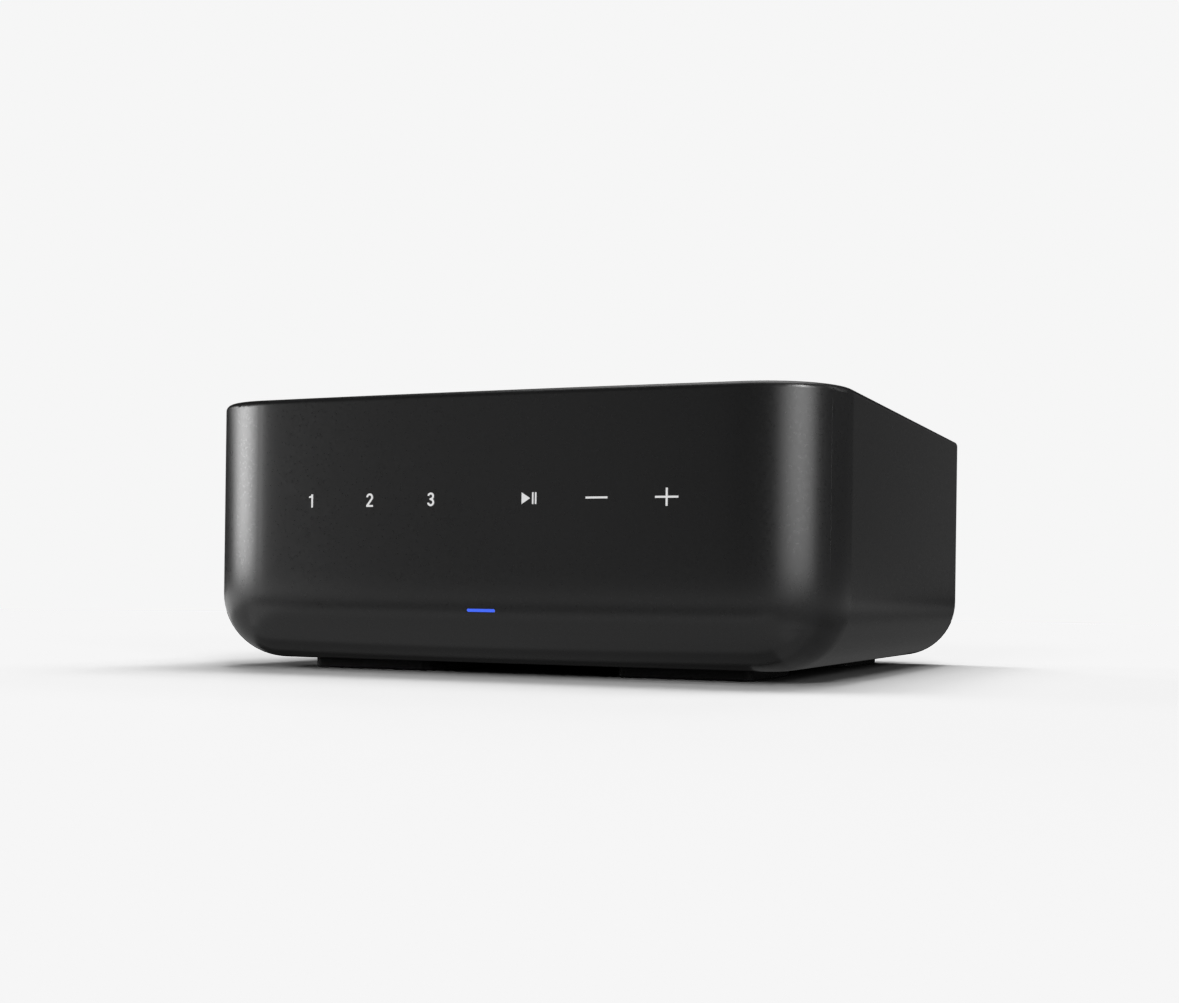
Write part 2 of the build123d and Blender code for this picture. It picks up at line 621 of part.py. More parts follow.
# ================================================================ FASTENERS OF THE CASING
CROSS = 0.75   # width of the cross recess
with BuildPart() as base_screws:
    for sx, sy in BASE_SCREWS_HOUSING + BASE_SCREWS_PANEL:
        long = 9.0 if (sx, sy) in BASE_SCREWS_HOUSING else 3.4
        with BuildSketch(Plane.XZ.offset(-sy)):
            with BuildLine():
                Polyline((sx, PLATE_Z0), (sx + 2.9, PLATE_Z0), (sx + 2.8, PLATE_Z0 + 0.12), (sx + SCREW_R, PLATE_Z1),
                         (sx + SCREW_R, PLATE_Z0 + long - 0.6), (sx + SCREW_R - 0.5, PLATE_Z0 + long),
                         (sx, PLATE_Z0 + long), close=True)
            make_face()
        revolve(axis=Axis((sx, sy, 0), (0, 0, 1)))
    with BuildSketch(Plane.XY.offset(PLATE_Z0)):
        with Locations(*(BASE_SCREWS_HOUSING + BASE_SCREWS_PANEL)):
            Rectangle(3.0, CROSS)
            Rectangle(CROSS, 3.0)
    extrude(amount=0.9, mode=Mode.SUBTRACT)
finish(base_screws.part, "base_screws")

with BuildPart() as rear_screws:
    for sx, sz in REAR_SCREWS:
        with BuildSketch(Plane.XY.offset(sz)):
            with BuildLine():
                Polyline((sx, PANEL_Y1 + 1.6), (sx + 1.5, PANEL_Y1 + 1.5), (sx + 2.6, PANEL_Y1 + 0.8), (sx + 2.8, PANEL_Y1),
                         (sx + SCREW_R, PANEL_Y1), (sx + SCREW_R, 80.6), (sx + 0.8, 79.8), (sx, 79.8), close=True)
            make_face()
        revolve(axis=Axis((sx, 0, sz), (0, 1, 0)))
    with BuildSketch(Plane.XZ.offset(-(PANEL_Y1 + 1.7))):
        with Locations(*REAR_SCREWS):
            Rectangle(2.9, CROSS)
            Rectangle(CROSS, 2.9)
    extrude(amount=1.1, mode=Mode.SUBTRACT)
finish(rear_screws.part, "rear_screws")

# ================================================================ REAR SOCKETS
# Mains inlet: flange outside the panel, shrouded cavity with two cut corners, three blades.
MAINS_OUT = 92.0
MAINS_DEEP = 16.5
PIN_AT = [(-7.0, -2.0), (7.0, -2.0), (0.0, 2.0)]


def mains_cavity():
    with Locations((MAINS_X, MAINS_Z)):
        Polygon((-12.3, 8.3), (-12.3, -4.3), (-8.3, -8.3), (8.3, -8.3), (12.3, -4.3), (12.3, 8.3), align=None)


with BuildPart() as mains_inlet:
    with BuildSketch(Plane.XZ.offset(-PANEL_Y1)):
        with Locations((MAINS_X, MAINS_Z)):
            RectangleRounded(31.0, 23.4, 2.0)
    extrude(amount=-(MAINS_OUT - PANEL_Y1))
    with BuildSketch(Plane.XZ.offset(-(PANEL_Y1 + 0.1))):
        with Locations((MAINS_X, MAINS_Z)):
            RectangleRounded(27.6, 19.6, 1.0)
    extrude(amount=18.8)
    with BuildSketch(Plane.XZ.offset(-(MAINS_OUT + 0.5))):
        mains_cavity()
    extrude(amount=MAINS_DEEP + 0.5, mode=Mode.SUBTRACT)
    with BuildSketch(Plane.XZ.offset(-MAINS_OUT)):
        with Locations(*[(MAINS_X + a, MAINS_Z + b) for a, b in PIN_AT]):
            Rectangle(2.0, 4.0)
    extrude(amount=30.0, mode=Mode.SUBTRACT)
    # spring catches behind the panel
    with BuildSketch(Plane.XZ.offset(-(PANEL_Y0 - 0.1))):
        with Locations((MAINS_X - 14.3, MAINS_Z), (MAINS_X + 14.3, MAINS_Z)):
            Rectangle(1.2, 8.0)
    extrude(amount=6.0)
finish(mains_inlet.part, "mains_inlet")

with BuildPart() as mains_pins:
    with BuildSketch(Plane.XZ.offset(-(MAINS_OUT - 4.6))):
        with Locations(*[(MAINS_X + a, MAINS_Z + b) for a, b in PIN_AT]):
            Rectangle(2.0, 4.0)
    extrude(amount=24.0)
    chamfer(mains_pins.faces().sort_by(Axis.Y)[-3:].edges(), 0.4)
finish(mains_pins.part, "mains_pins")

# Network socket: plug cavity with a latch groove and eight spring contacts above it.
LAN_OUT = 90.1
LAN_ZC = MAIN_TOP + 6.75
with BuildPart() as ethernet_socket:
    with BuildSketch(Plane.XZ.offset(-LAN_OUT)):
        with Locations((LAN_X, LAN_ZC)):
            Rectangle(16.0, 13.5)
    extrude(amount=21.0)
    with BuildSketch(Plane.XZ.offset(-(LAN_OUT + 0.5))):
        with Locations((LAN_X, LAN_ZC + 0.7)):
            Rectangle(11.9, 8.0)
        with Locations((LAN_X, LAN_ZC - 3.4)):
            Rectangle(6.2, 2.6)
        with Locations((LAN_X, LAN_ZC - 5.0)):
            Rectangle(3.4, 1.6)
    extrude(amount=14.5, mode=Mode.SUBTRACT)
    # two round lamps beside the mouth
    with BuildSketch(Plane.XZ.offset(-LAN_OUT)):
        with Locations((LAN_X - 6.2, LAN_ZC - 4.9), (LAN_X + 6.2, LAN_ZC - 4.9)):
            Rectangle(2.6, 2.0)
    extrude(amount=0.3, mode=Mode.SUBTRACT)
    # eight spring contacts that slope down from the roof
    for i in range(8):
        cx = LAN_X - 3.57 + 1.02 * i
        with BuildSketch(Plane.YZ.offset(cx - 0.22)):
            with BuildLine():
                Polyline((LAN_OUT - 14.2, LAN_ZC + 3.6), (LAN_OUT - 14.2, LAN_ZC + 3.1), (LAN_OUT - 11.5, LAN_ZC + 2.6),
                         (LAN_OUT - 4.4, LAN_ZC + 4.2), (LAN_OUT - 4.0, LAN_ZC + 4.9), (LAN_OUT - 5.0, LAN_ZC + 4.9),
                         (LAN_OUT - 11.5, LAN_ZC + 3.1), close=True)
            make_face()
        extrude(amount=0.44)
finish(ethernet_socket.part, "ethernet_socket")

# USB socket: thin flared shell and a flat tongue.
USB_OUT = 90.4
USB_ZC = MAIN_TOP + 3.4
with BuildPart() as usb_socket:
    with BuildSketch(Plane.XZ.offset(-USB_OUT)):
        with Locations((USB_X, USB_ZC)):
            RectangleRounded(13.1, 5.7, 0.5)
            Rectangle(12.5, 5.1, mode=Mode.SUBTRACT)
    extrude(amount=14.0)
    with BuildSketch(Plane.XZ.offset(-(USB_OUT - 12.0))):
        with Locations((USB_X, USB_ZC)):
            Rectangle(12.6, 5.2)
    extrude(amount=2.0)
    # flared lips round the mouth
    with BuildSketch(Plane.XZ.offset(-USB_OUT)):
        with Locations((USB_X, USB_ZC)):
            RectangleRounded(13.7, 6.3, 0.6)
            Rectangle(12.5, 5.1, mode=Mode.SUBTRACT)
    extrude(amount=0.5)
    # tongue
    with BuildSketch(Plane.XZ.offset(-(USB_OUT - 12.2))):
        with Locations((USB_X, USB_ZC + 0.75)):
            Rectangle(11.1, 1.84)
    extrude(amount=-9.9)
finish(usb_socket.part, "usb_socket")

# Video and sound socket: shell with two cut lower corners and a centre tongue.
HDMI_OUT = 90.1
HDMI_ZC = MAIN_TOP + 3.4


def hdmi_outline(grow):
    with Locations((HDMI_X, HDMI_ZC)):
        a, b, c = 7.0 + grow, 2.28 + grow, 4.75 + grow * 0.6
        Polygon((-a, b), (-a, -0.55), (-c - 0.4, -b), (c + 0.4, -b), (a, -0.55), (a, b), align=None)


with BuildPart() as hdmi_socket:
    with BuildSketch(Plane.XZ.offset(-HDMI_OUT)):
        hdmi_outline(0.5)
    extrude(amount=13.0)
    with BuildSketch(Plane.XZ.offset(-(HDMI_OUT + 0.5))):
        hdmi_outline(0.0)
    extrude(amount=11.0, mode=Mode.SUBTRACT)
    with BuildSketch(Plane.XZ.offset(-(HDMI_OUT - 11.0))):
        with Locations((HDMI_X, HDMI_ZC + 0.25)):
            Rectangle(11.2, 1.2)
    extrude(amount=-9.0)
finish(hdmi_socket.part, "hdmi_socket")

# Optical socket: square cavity, closed by a sprung shutter that folds up into the roof.
OPT_OUT = 90.1
OPT_ZC = MAIN_TOP + 4.7
OPT_IN_W, OPT_IN_H = 7.4, 7.2
SHUT_T = 0.6
SHUT_Y = OPT_OUT - 2.4            # outer face of the closed shutter
SHUT_TOP = OPT_ZC + OPT_IN_H / 2 + 0.5
SHUT_PIN_Y = SHUT_Y - 0.45
with BuildPart() as optical_socket:
    with BuildSketch(Plane.XZ.offset(-OPT_OUT)):
        with Locations((OPT_X, MAIN_TOP + 5.2)):
            Rectangle(9.8, 10.4)
    extrude(amount=15.0)
    with BuildSketch(Plane.XZ.offset(-(OPT_OUT + 0.5))):
        with Locations((OPT_X, OPT_ZC)):
            Rectangle(OPT_IN_W, OPT_IN_H)
    extrude(amount=12.0, mode=Mode.SUBTRACT)
    # roof recess that the open shutter lies in
    with BuildSketch(Plane.XZ.offset(-(SHUT_Y + 0.15))):
        with Locations((OPT_X, OPT_ZC + OPT_IN_H / 2 + 0.5)):
            Rectangle(OPT_IN_W, 1.9)
    extrude(amount=9.25, mode=Mode.SUBTRACT)
    # bearing holes of the shutter's pin, in the two cheeks
    with BuildSketch(Plane.YZ.offset(OPT_X - OPT_IN_W / 2 - 0.7)):
        with Locations((SHUT_PIN_Y, SHUT_TOP)):
            Circle(0.45)
    extrude(amount=OPT_IN_W + 1.4, mode=Mode.SUBTRACT)
    # lens at the back of the cavity
    with BuildSketch(Plane.XZ.offset(-(OPT_OUT - 11.5))):
        with Locations((OPT_X, OPT_ZC - 0.3)):
            Circle(1.3)
    extrude(amount=-1.2)
finish(optical_socket.part, "optical_socket")

with BuildPart() as optical_shutter:
    with BuildSketch(Plane.XZ.offset(-SHUT_Y)):
        with Locations((OPT_X, (SHUT_TOP + OPT_ZC - OPT_IN_H / 2 + 0.15) / 2)):
            Rectangle(OPT_IN_W - 0.3, SHUT_TOP - OPT_ZC + OPT_IN_H / 2 - 0.15)
    extrude(amount=SHUT_T)
    with BuildSketch(Plane.YZ.offset(OPT_X - OPT_IN_W / 2 + 0.15)):
        with Locations((SHUT_PIN_Y, SHUT_TOP)):
            Circle(0.45)
    extrude(amount=OPT_IN_W - 0.3)
    with BuildSketch(Plane.YZ.offset(OPT_X - OPT_IN_W / 2 - 0.55)):
        with Locations((SHUT_PIN_Y, SHUT_TOP)):
            Circle(0.41)
    extrude(amount=OPT_IN_W + 1.1)
finish(optical_shutter.part, "optical_shutter")

# Headphone-size jack: square body inside, short round nose through the panel.
JACK_OUT = 91.6
with BuildPart() as minijack_socket:
    with BuildSketch(Plane.XZ.offset(-PANEL_Y0)):
        with Locations((JACK_X, JACK_Z)):
            Rectangle(12.0, 10.4)
    extrude(amount=14.0)
    with BuildSketch(Plane.XZ.offset(-PANEL_Y0)):
        with Locations((JACK_X, JACK_Z)):
            Circle(4.0)
    extrude(amount=-(JACK_OUT - PANEL_Y0))
    chamfer(minijack_socket.faces().sort_by(Axis.Y)[-1].edges(), 0.4)
    with BuildSketch(Plane.XZ.offset(-(JACK_OUT + 0.5))):
        with Locations((JACK_X, JACK_Z)):
            Circle(1.8)
    extrude(amount=15.0, mode=Mode.SUBTRACT)
    chamfer(minijack_socket.edges().filter_by(GeomType.CIRCLE).sort_by(Axis.Y)[-1], 0.35)
finish(minijack_socket.part, "minijack_socket")

# Sprung button that presses the switch on the streaming board.
BUTTON_TRAVEL = 0.6
with BuildPart() as pair_button:
    # collar that stops against the panel from inside
    with BuildSketch(Plane.XZ.offset(-87.1)):
        with Locations((PAIR_X, PAIR_Z)):
            Circle(3.2)
    extrude(amount=-1.0)
    # stem to the switch
    with BuildSketch(Plane.XZ.offset(-84.4)):
        with Locations((PAIR_X, PAIR_Z)):
            Circle(1.5)
    extrude(amount=-2.7)
    with BuildSketch(Plane.XZ.offset(-88.1)):
        with Locations((PAIR_X, PAIR_Z)):
            Circle(2.0)
    extrude(amount=-2.7)
    chamfer(pair_button.faces().sort_by(Axis.Y)[-1].edges(), 0.4)
finish(pair_button.part, "pair_button")

# Line sockets: one moulded block with four round shrouds, and a metal sleeve in each.
RCA_OUT = 99.0
with BuildPart() as rca_block:
    with BuildSketch(Plane.XZ.offset(-PANEL_Y0)):
        with Locations((sum(RCA_X) / 2, sum(RCA_Z) / 2)):
            RectangleRounded(27.6, 27.6, 1.5)
    extrude(amount=12.0)
    with BuildSketch(Plane.XZ.offset(-PANEL_Y0)):
        with Locations(*[(x, z) for x in RCA_X for z in RCA_Z]):
            Circle(5.0)
    extrude(amount=-(PANEL_Y1 + 0.6 - PANEL_Y0))
    with BuildSketch(Plane.XZ.offset(-(PANEL_Y1 + 1.0))):
        with Locations(*[(x, z) for x in RCA_X for z in RCA_Z]):
            Circle(4.15)
    extrude(amount=9.0, mode=Mode.SUBTRACT)
    # narrow passages for the tails of the centre contacts
    with BuildSketch(Plane.XZ.offset(-(PANEL_Y1 - 7.0))):
        with Locations(*[(x, z) for x in RCA_X for z in RCA_Z]):
            Circle(1.2)
    extrude(amount=10.0, mode=Mode.SUBTRACT)
finish(rca_block.part, "rca_block")

with BuildPart() as rca_sleeves:
    with BuildSketch(Plane.XZ.offset(-(PANEL_Y1 - 8.0))):
        with Locations(*[(x, z) for x in RCA_X for z in RCA_Z]):
            Circle(4.15)
            Circle(3.65, mode=Mode.SUBTRACT)
    extrude(amount=-(RCA_OUT - PANEL_Y1 + 8.0))
    # wider foot ring against the panel
    with BuildSketch(Plane.XZ.offset(-(PANEL_Y1 + 0.6))):
        with Locations(*[(x, z) for x in RCA_X for z in RCA_Z]):
            Circle(5.0)
            Circle(3.9, mode=Mode.SUBTRACT)
    extrude(amount=-0.6)
finish(rca_sleeves.part, "rca_sleeves")

with BuildPart() as rca_inserts:
    with BuildSketch(Plane.XZ.offset(-(PANEL_Y1 - 8.0))):
        with Locations(*[(x, z) for x in RCA_X for z in RCA_Z]):
            Circle(3.65)
            Circle(1.65, mode=Mode.SUBTRACT)
    extrude(amount=-(RCA_OUT - 1.0 - PANEL_Y1 + 8.0))
finish(rca_inserts.part, "rca_inserts")

with BuildPart() as line_board:
    with BuildSketch(Plane.XZ.offset(-(PANEL_Y0 - 12.0))):
        with Locations((-22.0, 30.5)):
            Rectangle(34.0, 34.0)
    extrude(amount=PCB_T)
finish(line_board.part, "line_board")

# Speaker posts: insulating block, four hollow stems with a wire hole, washers and thumb nuts.
with BuildPart() as terminal_block:
    with BuildSketch(Plane.XZ.offset(-PANEL_Y1)):
        with Locations((sum(POST_X) / 4, POST_Z)):
            RectangleRounded(78.0, 21.0, 3.0)
    extrude(amount=-2.5)
    chamfer(terminal_block.faces().sort_by(Axis.Y)[-1].edges(), 0.5)
    with BuildSketch(Plane.XZ.offset(-(PANEL_Y1 + 2.4))):
        with Locations(*[(x, POST_Z) for x in POST_X]):
            Circle(7.0)
    extrude(amount=-1.6)
    with BuildSketch(Plane.XZ.offset(-(PANEL_Y1 + 0.1))):
        with Locations(*[(x, POST_Z) for x in POST_X]):
            Circle(5.0)
    extrude(amount=5.0)
    with BuildSketch(Plane.XZ.offset(-(PANEL_Y1 + 6.0))):
        with Locations(*[(x, POST_Z) for x in POST_X]):
            Circle(STUD_R)
    extrude(amount=14.0, mode=Mode.SUBTRACT)
finish(terminal_block.part, "terminal_block")

STUD_END = 105.6
with BuildPart() as terminal_studs:
    with BuildSketch(Plane.XZ.offset(-76.0)):
        with Locations(*[(x, POST_Z) for x in POST_X]):
            Circle(STUD_R)
    extrude(amount=-(STUD_END - 76.0))
    # clamping nut behind the panel
    with BuildSketch(Plane.XZ.offset(-84.9)):
        with Locations(*[(x, POST_Z) for x in POST_X]):
            RegularPolygon(5.4, 6)
    extrude(amount=3.0)
    with BuildSketch(Plane.XZ.offset(-(STUD_END + 0.5))):
        with Locations(*[(x, POST_Z) for x in POST_X]):
            Circle(BANANA_R)
    extrude(amount=18.5, mode=Mode.SUBTRACT)
    # wire hole from top to bottom, open once the nut is backed off
    with BuildSketch(Plane.XY.offset(POST_Z - 5.0)):
        with Locations(*[(x, WASHER_Y0 + 1.7) for x in POST_X]):
            Circle(1.5)
    extrude(amount=10.0, mode=Mode.SUBTRACT)
finish(terminal_studs.part, "terminal_studs")

for i, post_x in enumerate(POST_X, start=1):
    with BuildPart() as washer:
        with BuildSketch(Plane.XZ.offset(-WASHER_Y0)):
            with Locations((post_x, POST_Z)):
                Circle(6.0)
                Circle(NUT_BORE_R, mode=Mode.SUBTRACT)
        extrude(amount=-(WASHER_Y1 - WASHER_Y0))
        chamfer(washer.edges().filter_by(GeomType.CIRCLE).sort_by(SortBy.RADIUS)[-2:], 0.25)
    finish(washer.part, "terminal_washer_" + str(i))

    with BuildPart() as nut:
        with BuildSketch(Plane.XZ.offset(-NUT_Y0)):
            with Locations((post_x, POST_Z)):
                Circle(NUT_R)
        extrude(amount=-(NUT_Y1 - NUT_Y0))
        fillet(nut.faces().sort_by(Axis.Y)[-1].edges(), 1.2)
        chamfer(nut.faces().sort_by(Axis.Y)[0].edges(), 0.4)
        # grip flutes
        with BuildSketch(Plane.XZ.offset(-(NUT_Y0 + 2.2))):
            with Locations((post_x, POST_Z)):
                with PolarLocations(NUT_R + 0.55, 12):
                    Circle(1.15)
        extrude(amount=-14.0, mode=Mode.SUBTRACT)
        with BuildSketch(Plane.XZ.offset(-(NUT_Y0 - 0.5))):
            with Locations((post_x, POST_Z)):
                Circle(NUT_BORE_R)
        extrude(amount=-15.0, mode=Mode.SUBTRACT)
    finish(nut.part, "terminal_nut_" + str(i))

# ================================================================ INTERNAL WIRING
WIRES = [
    # from the mains blades to the power supply's input connector
    [(MAINS_X - 7, 63.3, MAINS_Z - 2), (MAINS_X - 7, 58.0, MAINS_Z - 2), (-66.0, 50.0, 27.0), (-61.0, 34.0, 27.0), (-61.0, 34.0, LOW_TOP + 9.1)],
    [(MAINS_X + 7, 63.3, MAINS_Z - 2), (MAINS_X + 7, 57.0, MAINS_Z - 2), (-58.0, 49.0, 30.0), (-55.0, 34.0, 30.0), (-55.0, 34.0, LOW_TOP + 9.1)],
    # from the power supply across to the amplifier
    [(-38.0, -52.5, LOW_TOP + 9.1), (-38.0, -52.5, 34.0), (-14.0, -58.0, 38.0), (3.0, -50.0, 36.0), (10.0, -36.0, 24.0), (10.0, -36.0, LOW_TOP + 0.1)],
    [(-30.0, -52.5, LOW_TOP + 9.1), (-30.0, -52.5, 29.0), (-12.0, -54.0, 33.0), (2.0, -44.0, 31.0), (10.0, -28.0, 22.0), (10.0, -28.0, LOW_TOP + 0.1)],
]
SPEAKER_WIRES = [
    [(POST_X[0], 75.9, POST_Z), (POST_X[0], 66.0, POST_Z), (20.0, 46.0, 30.0), (20.0, 35.0, 30.0), (20.0, 35.0, LOW_TOP + 9.1)],
    [(POST_X[1], 75.9, POST_Z), (POST_X[1], 66.0, POST_Z), (31.0, 48.0, 31.0), (31.0, 35.0, 31.0), (31.0, 35.0, LOW_TOP + 9.1)],
    [(POST_X[2], 75.9, POST_Z), (POST_X[2], 66.0, POST_Z), (50.0, 48.0, 31.0), (50.0, 35.0, 31.0), (50.0, 35.0, LOW_TOP + 9.1)],
    [(POST_X[3], 75.9, POST_Z), (POST_X[3], 66.0, POST_Z), (71.0, 48.0, 30.0), (59.0, 35.0, 30.0), (59.0, 35.0, LOW_TOP + 9.1)],
]
with BuildPart() as internal_wiring:
    for points in WIRES + SPEAKER_WIRES:
        with BuildLine() as wire_path:
            FilletPolyline(*points, radius=[3.5] * (len(points) - 2))
        with BuildSketch(Plane(origin=wire_path.line @ 0, z_dir=wire_path.line % 0)):
            Circle(1.0)
        sweep(path=wire_path.line)
finish(internal_wiring.part, "internal_wiring")
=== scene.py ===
import json
import math

import bmesh
import bpy
from mathutils import Matrix, Vector

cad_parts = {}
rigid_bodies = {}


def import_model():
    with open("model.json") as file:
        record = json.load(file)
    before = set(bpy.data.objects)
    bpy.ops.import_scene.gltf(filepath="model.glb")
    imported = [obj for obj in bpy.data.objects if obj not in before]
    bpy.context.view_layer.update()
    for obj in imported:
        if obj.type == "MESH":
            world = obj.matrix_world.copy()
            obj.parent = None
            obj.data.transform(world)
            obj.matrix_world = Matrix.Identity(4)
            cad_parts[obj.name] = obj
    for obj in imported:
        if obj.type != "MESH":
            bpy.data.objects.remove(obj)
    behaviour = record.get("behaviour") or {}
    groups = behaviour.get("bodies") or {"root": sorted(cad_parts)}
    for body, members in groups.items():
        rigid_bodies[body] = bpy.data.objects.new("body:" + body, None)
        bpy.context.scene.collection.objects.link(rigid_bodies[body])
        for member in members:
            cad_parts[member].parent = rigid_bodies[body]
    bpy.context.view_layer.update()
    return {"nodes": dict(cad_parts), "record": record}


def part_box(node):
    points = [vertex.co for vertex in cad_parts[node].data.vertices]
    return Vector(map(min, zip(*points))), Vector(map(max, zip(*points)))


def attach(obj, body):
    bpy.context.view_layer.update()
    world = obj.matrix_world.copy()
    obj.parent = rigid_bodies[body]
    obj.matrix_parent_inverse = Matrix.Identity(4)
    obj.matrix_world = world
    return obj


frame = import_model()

nodes = frame["nodes"]
scene = bpy.context.scene
MM = 0.001

# ------------------------------------------------------------------ camera, at the photograph's viewing angle
F_PX, W_PX, H_PX = 1605.38, 1179.0, 1003.0
YAW, ROLL = 0.3996, 0.0135
PP_Y = 594.04
cam_data = bpy.data.cameras.new("camera")
cam = bpy.data.objects.new("camera", cam_data)
scene.collection.objects.link(cam)
forward = Vector((-math.sin(YAW), math.cos(YAW), 0.0))
right0 = Vector((math.cos(YAW), math.sin(YAW), 0.0))
up0 = Vector((0.0, 0.0, 1.0))
right = right0 * math.cos(ROLL) + up0 * math.sin(ROLL)
up = up0 * math.cos(ROLL) - right0 * math.sin(ROLL)
cam_rot = Matrix((right, up, -forward)).transposed()
cam.matrix_world = Matrix.Translation((0.22190, -0.54810, 0.02598)) @ cam_rot.to_4x4()
cam_data.sensor_fit = "HORIZONTAL"
cam_data.sensor_width = 36.0
cam_data.lens = F_PX / W_PX * 36.0
cam_data.shift_x = 0.0
cam_data.shift_y = (PP_Y - H_PX / 2) / W_PX
cam_data.clip_start, cam_data.clip_end = 0.02, 60.0
scene.camera = cam

scene.view_settings.view_transform = "Standard"
scene.view_settings.look = "None"
scene.view_settings.exposure = 0.0
scene.view_settings.gamma = 1.0


# ------------------------------------------------------------------ short ways to build shader nodes
def new_material(name):
    mat = bpy.data.materials.new(name)
    mat.use_nodes = True
    mat.node_tree.nodes.clear()
    return mat, mat.node_tree


class Nodes:
    """Adds and links shader nodes."""

    def __init__(self, nt):
        self.nt = nt
        self._split = None

    def add(self, kind, **props):
        node = self.nt.nodes.new(kind)
        for key, value in props.items():
            setattr(node, key, value)
        return node

    def link(self, a, b):
        self.nt.links.new(a, b)

    def math(self, op, a, b=None):
        node = self.add("ShaderNodeMath", operation=op)
        for i, v in enumerate((a, b)):
            if v is None:
                continue
            if isinstance(v, (int, float)):
                node.inputs[i].default_value = v
            else:
                self.link(v, node.inputs[i])
        return node.outputs[0]

    def place(self):
        """The piece's own coordinates, in metres."""
        if not hasattr(self, "_place"):
            self._place = self.add("ShaderNodeTexCoord").outputs["Object"]
        return self._place

    def xyz(self):
        if self._split is None:
            node = self.add("ShaderNodeSeparateXYZ")
            self.link(self.place(), node.inputs[0])
            self._split = [node.outputs[i] for i in range(3)]
        return self._split

    def noise(self, size_mm, detail=2.0, rough=0.5, stretch=None):
        """Noise whose features are about size_mm across."""
        node = self.add("ShaderNodeTexNoise")
        node.inputs["Scale"].default_value = 1.0 / (size_mm * MM)
        node.inputs["Detail"].default_value = detail
        node.inputs["Roughness"].default_value = rough
        if stretch:
            scale = self.add("ShaderNodeVectorMath", operation="MULTIPLY")
            scale.inputs[1].default_value = stretch
            self.link(self.place(), scale.inputs[0])
            self.link(scale.outputs[0], node.inputs["Vector"])
        else:
            self.link(self.place(), node.inputs["Vector"])
        return node.outputs["Fac"]

    def spread(self, fac, lo, hi, from_lo=0.3, from_hi=0.7):
        node = self.add("ShaderNodeMapRange")
        node.inputs["From Min"].default_value = from_lo
        node.inputs["From Max"].default_value = from_hi
        node.inputs["To Min"].default_value = lo
        node.inputs["To Max"].default_value = hi
        self.link(fac, node.inputs["Value"])
        return node.outputs["Result"]

    def blend(self, fac, a, b):
        """Colour a where fac is 0, b where it is 1. Each is a colour or a socket."""
        node = self.add("ShaderNodeMix", data_type="RGBA")
        if isinstance(fac, (int, float)):
            node.inputs[0].default_value = fac
        else:
            self.link(fac, node.inputs[0])
        for i, c in ((6, a), (7, b)):
            if isinstance(c, tuple):
                node.inputs[i].default_value = (*c, 1.0)
            else:
                self.link(c, node.inputs[i])
        return node.outputs[2]

    def inside(self, x=None, y=None, z=None):
        """1 inside a box given by ranges in millimetres, 0 outside."""
        total = None
        for socket, span in zip(self.xyz(), (x, y, z)):
            if span is None:
                continue
            mid, half = (span[0] + span[1]) / 2 * MM, (span[1] - span[0]) / 2 * MM
            off = self.math("ABSOLUTE", self.math("SUBTRACT", socket, mid))
            m = self.math("LESS_THAN", off, half)
            total = m if total is None else self.math("MULTIPLY", total, m)
        return total


def scaled(c, k):
    return tuple(min(1.0, v * k) for v in c)


def rolled_edge(n, facing, top, radius):
    """The direction of the rolled lower edge taken from its height, so that the edge turns evenly all along.

    It holds for outward faces that look level or down, and not for the rear rim and the flat underside."""
    parts = n.add("ShaderNodeSeparateXYZ")
    n.link(facing, parts.inputs[0])
    below = n.math("MAXIMUM", n.math("SUBTRACT", top * MM, n.xyz()[2]), 0.0)
    down = n.math("MINIMUM", n.math("DIVIDE", below, radius * MM), 0.995)
    level = n.math("SQRT", n.math("SUBTRACT", 1.0, n.math("MULTIPLY", down, down)))
    flat = n.add("ShaderNodeCombineXYZ")
    n.link(parts.outputs[0], flat.inputs[0])
    n.link(parts.outputs[1], flat.inputs[1])
    unit = n.add("ShaderNodeVectorMath", operation="NORMALIZE")
    n.link(flat.outputs[0], unit.inputs[0])
    wide = n.add("ShaderNodeVectorMath", operation="SCALE")
    n.link(unit.outputs[0], wide.inputs[0])
    n.link(level, wide.inputs["Scale"])
    drop = n.add("ShaderNodeCombineXYZ")
    n.link(n.math("MULTIPLY", down, -1.0), drop.inputs[2])
    even = n.add("ShaderNodeVectorMath", operation="ADD")
    n.link(wide.outputs[0], even.inputs[0])
    n.link(drop.outputs[0], even.inputs[1])
    outward = n.math("MULTIPLY", n.math("LESS_THAN", parts.outputs[2], 0.04), n.math("LESS_THAN", parts.outputs[1], 0.9))
    steep = n.math("MINIMUM", n.math("MAXIMUM", n.math("MULTIPLY", n.math("ADD", parts.outputs[2], 0.96), 6.0), 0.0), 1.0)
    pick = n.add("ShaderNodeMix", data_type="VECTOR")
    n.link(n.math("MULTIPLY", outward, steep), pick.inputs[0])
    n.link(facing, pick.inputs[4])
    n.link(even.outputs[0], pick.inputs[5])
    return pick.outputs[1]


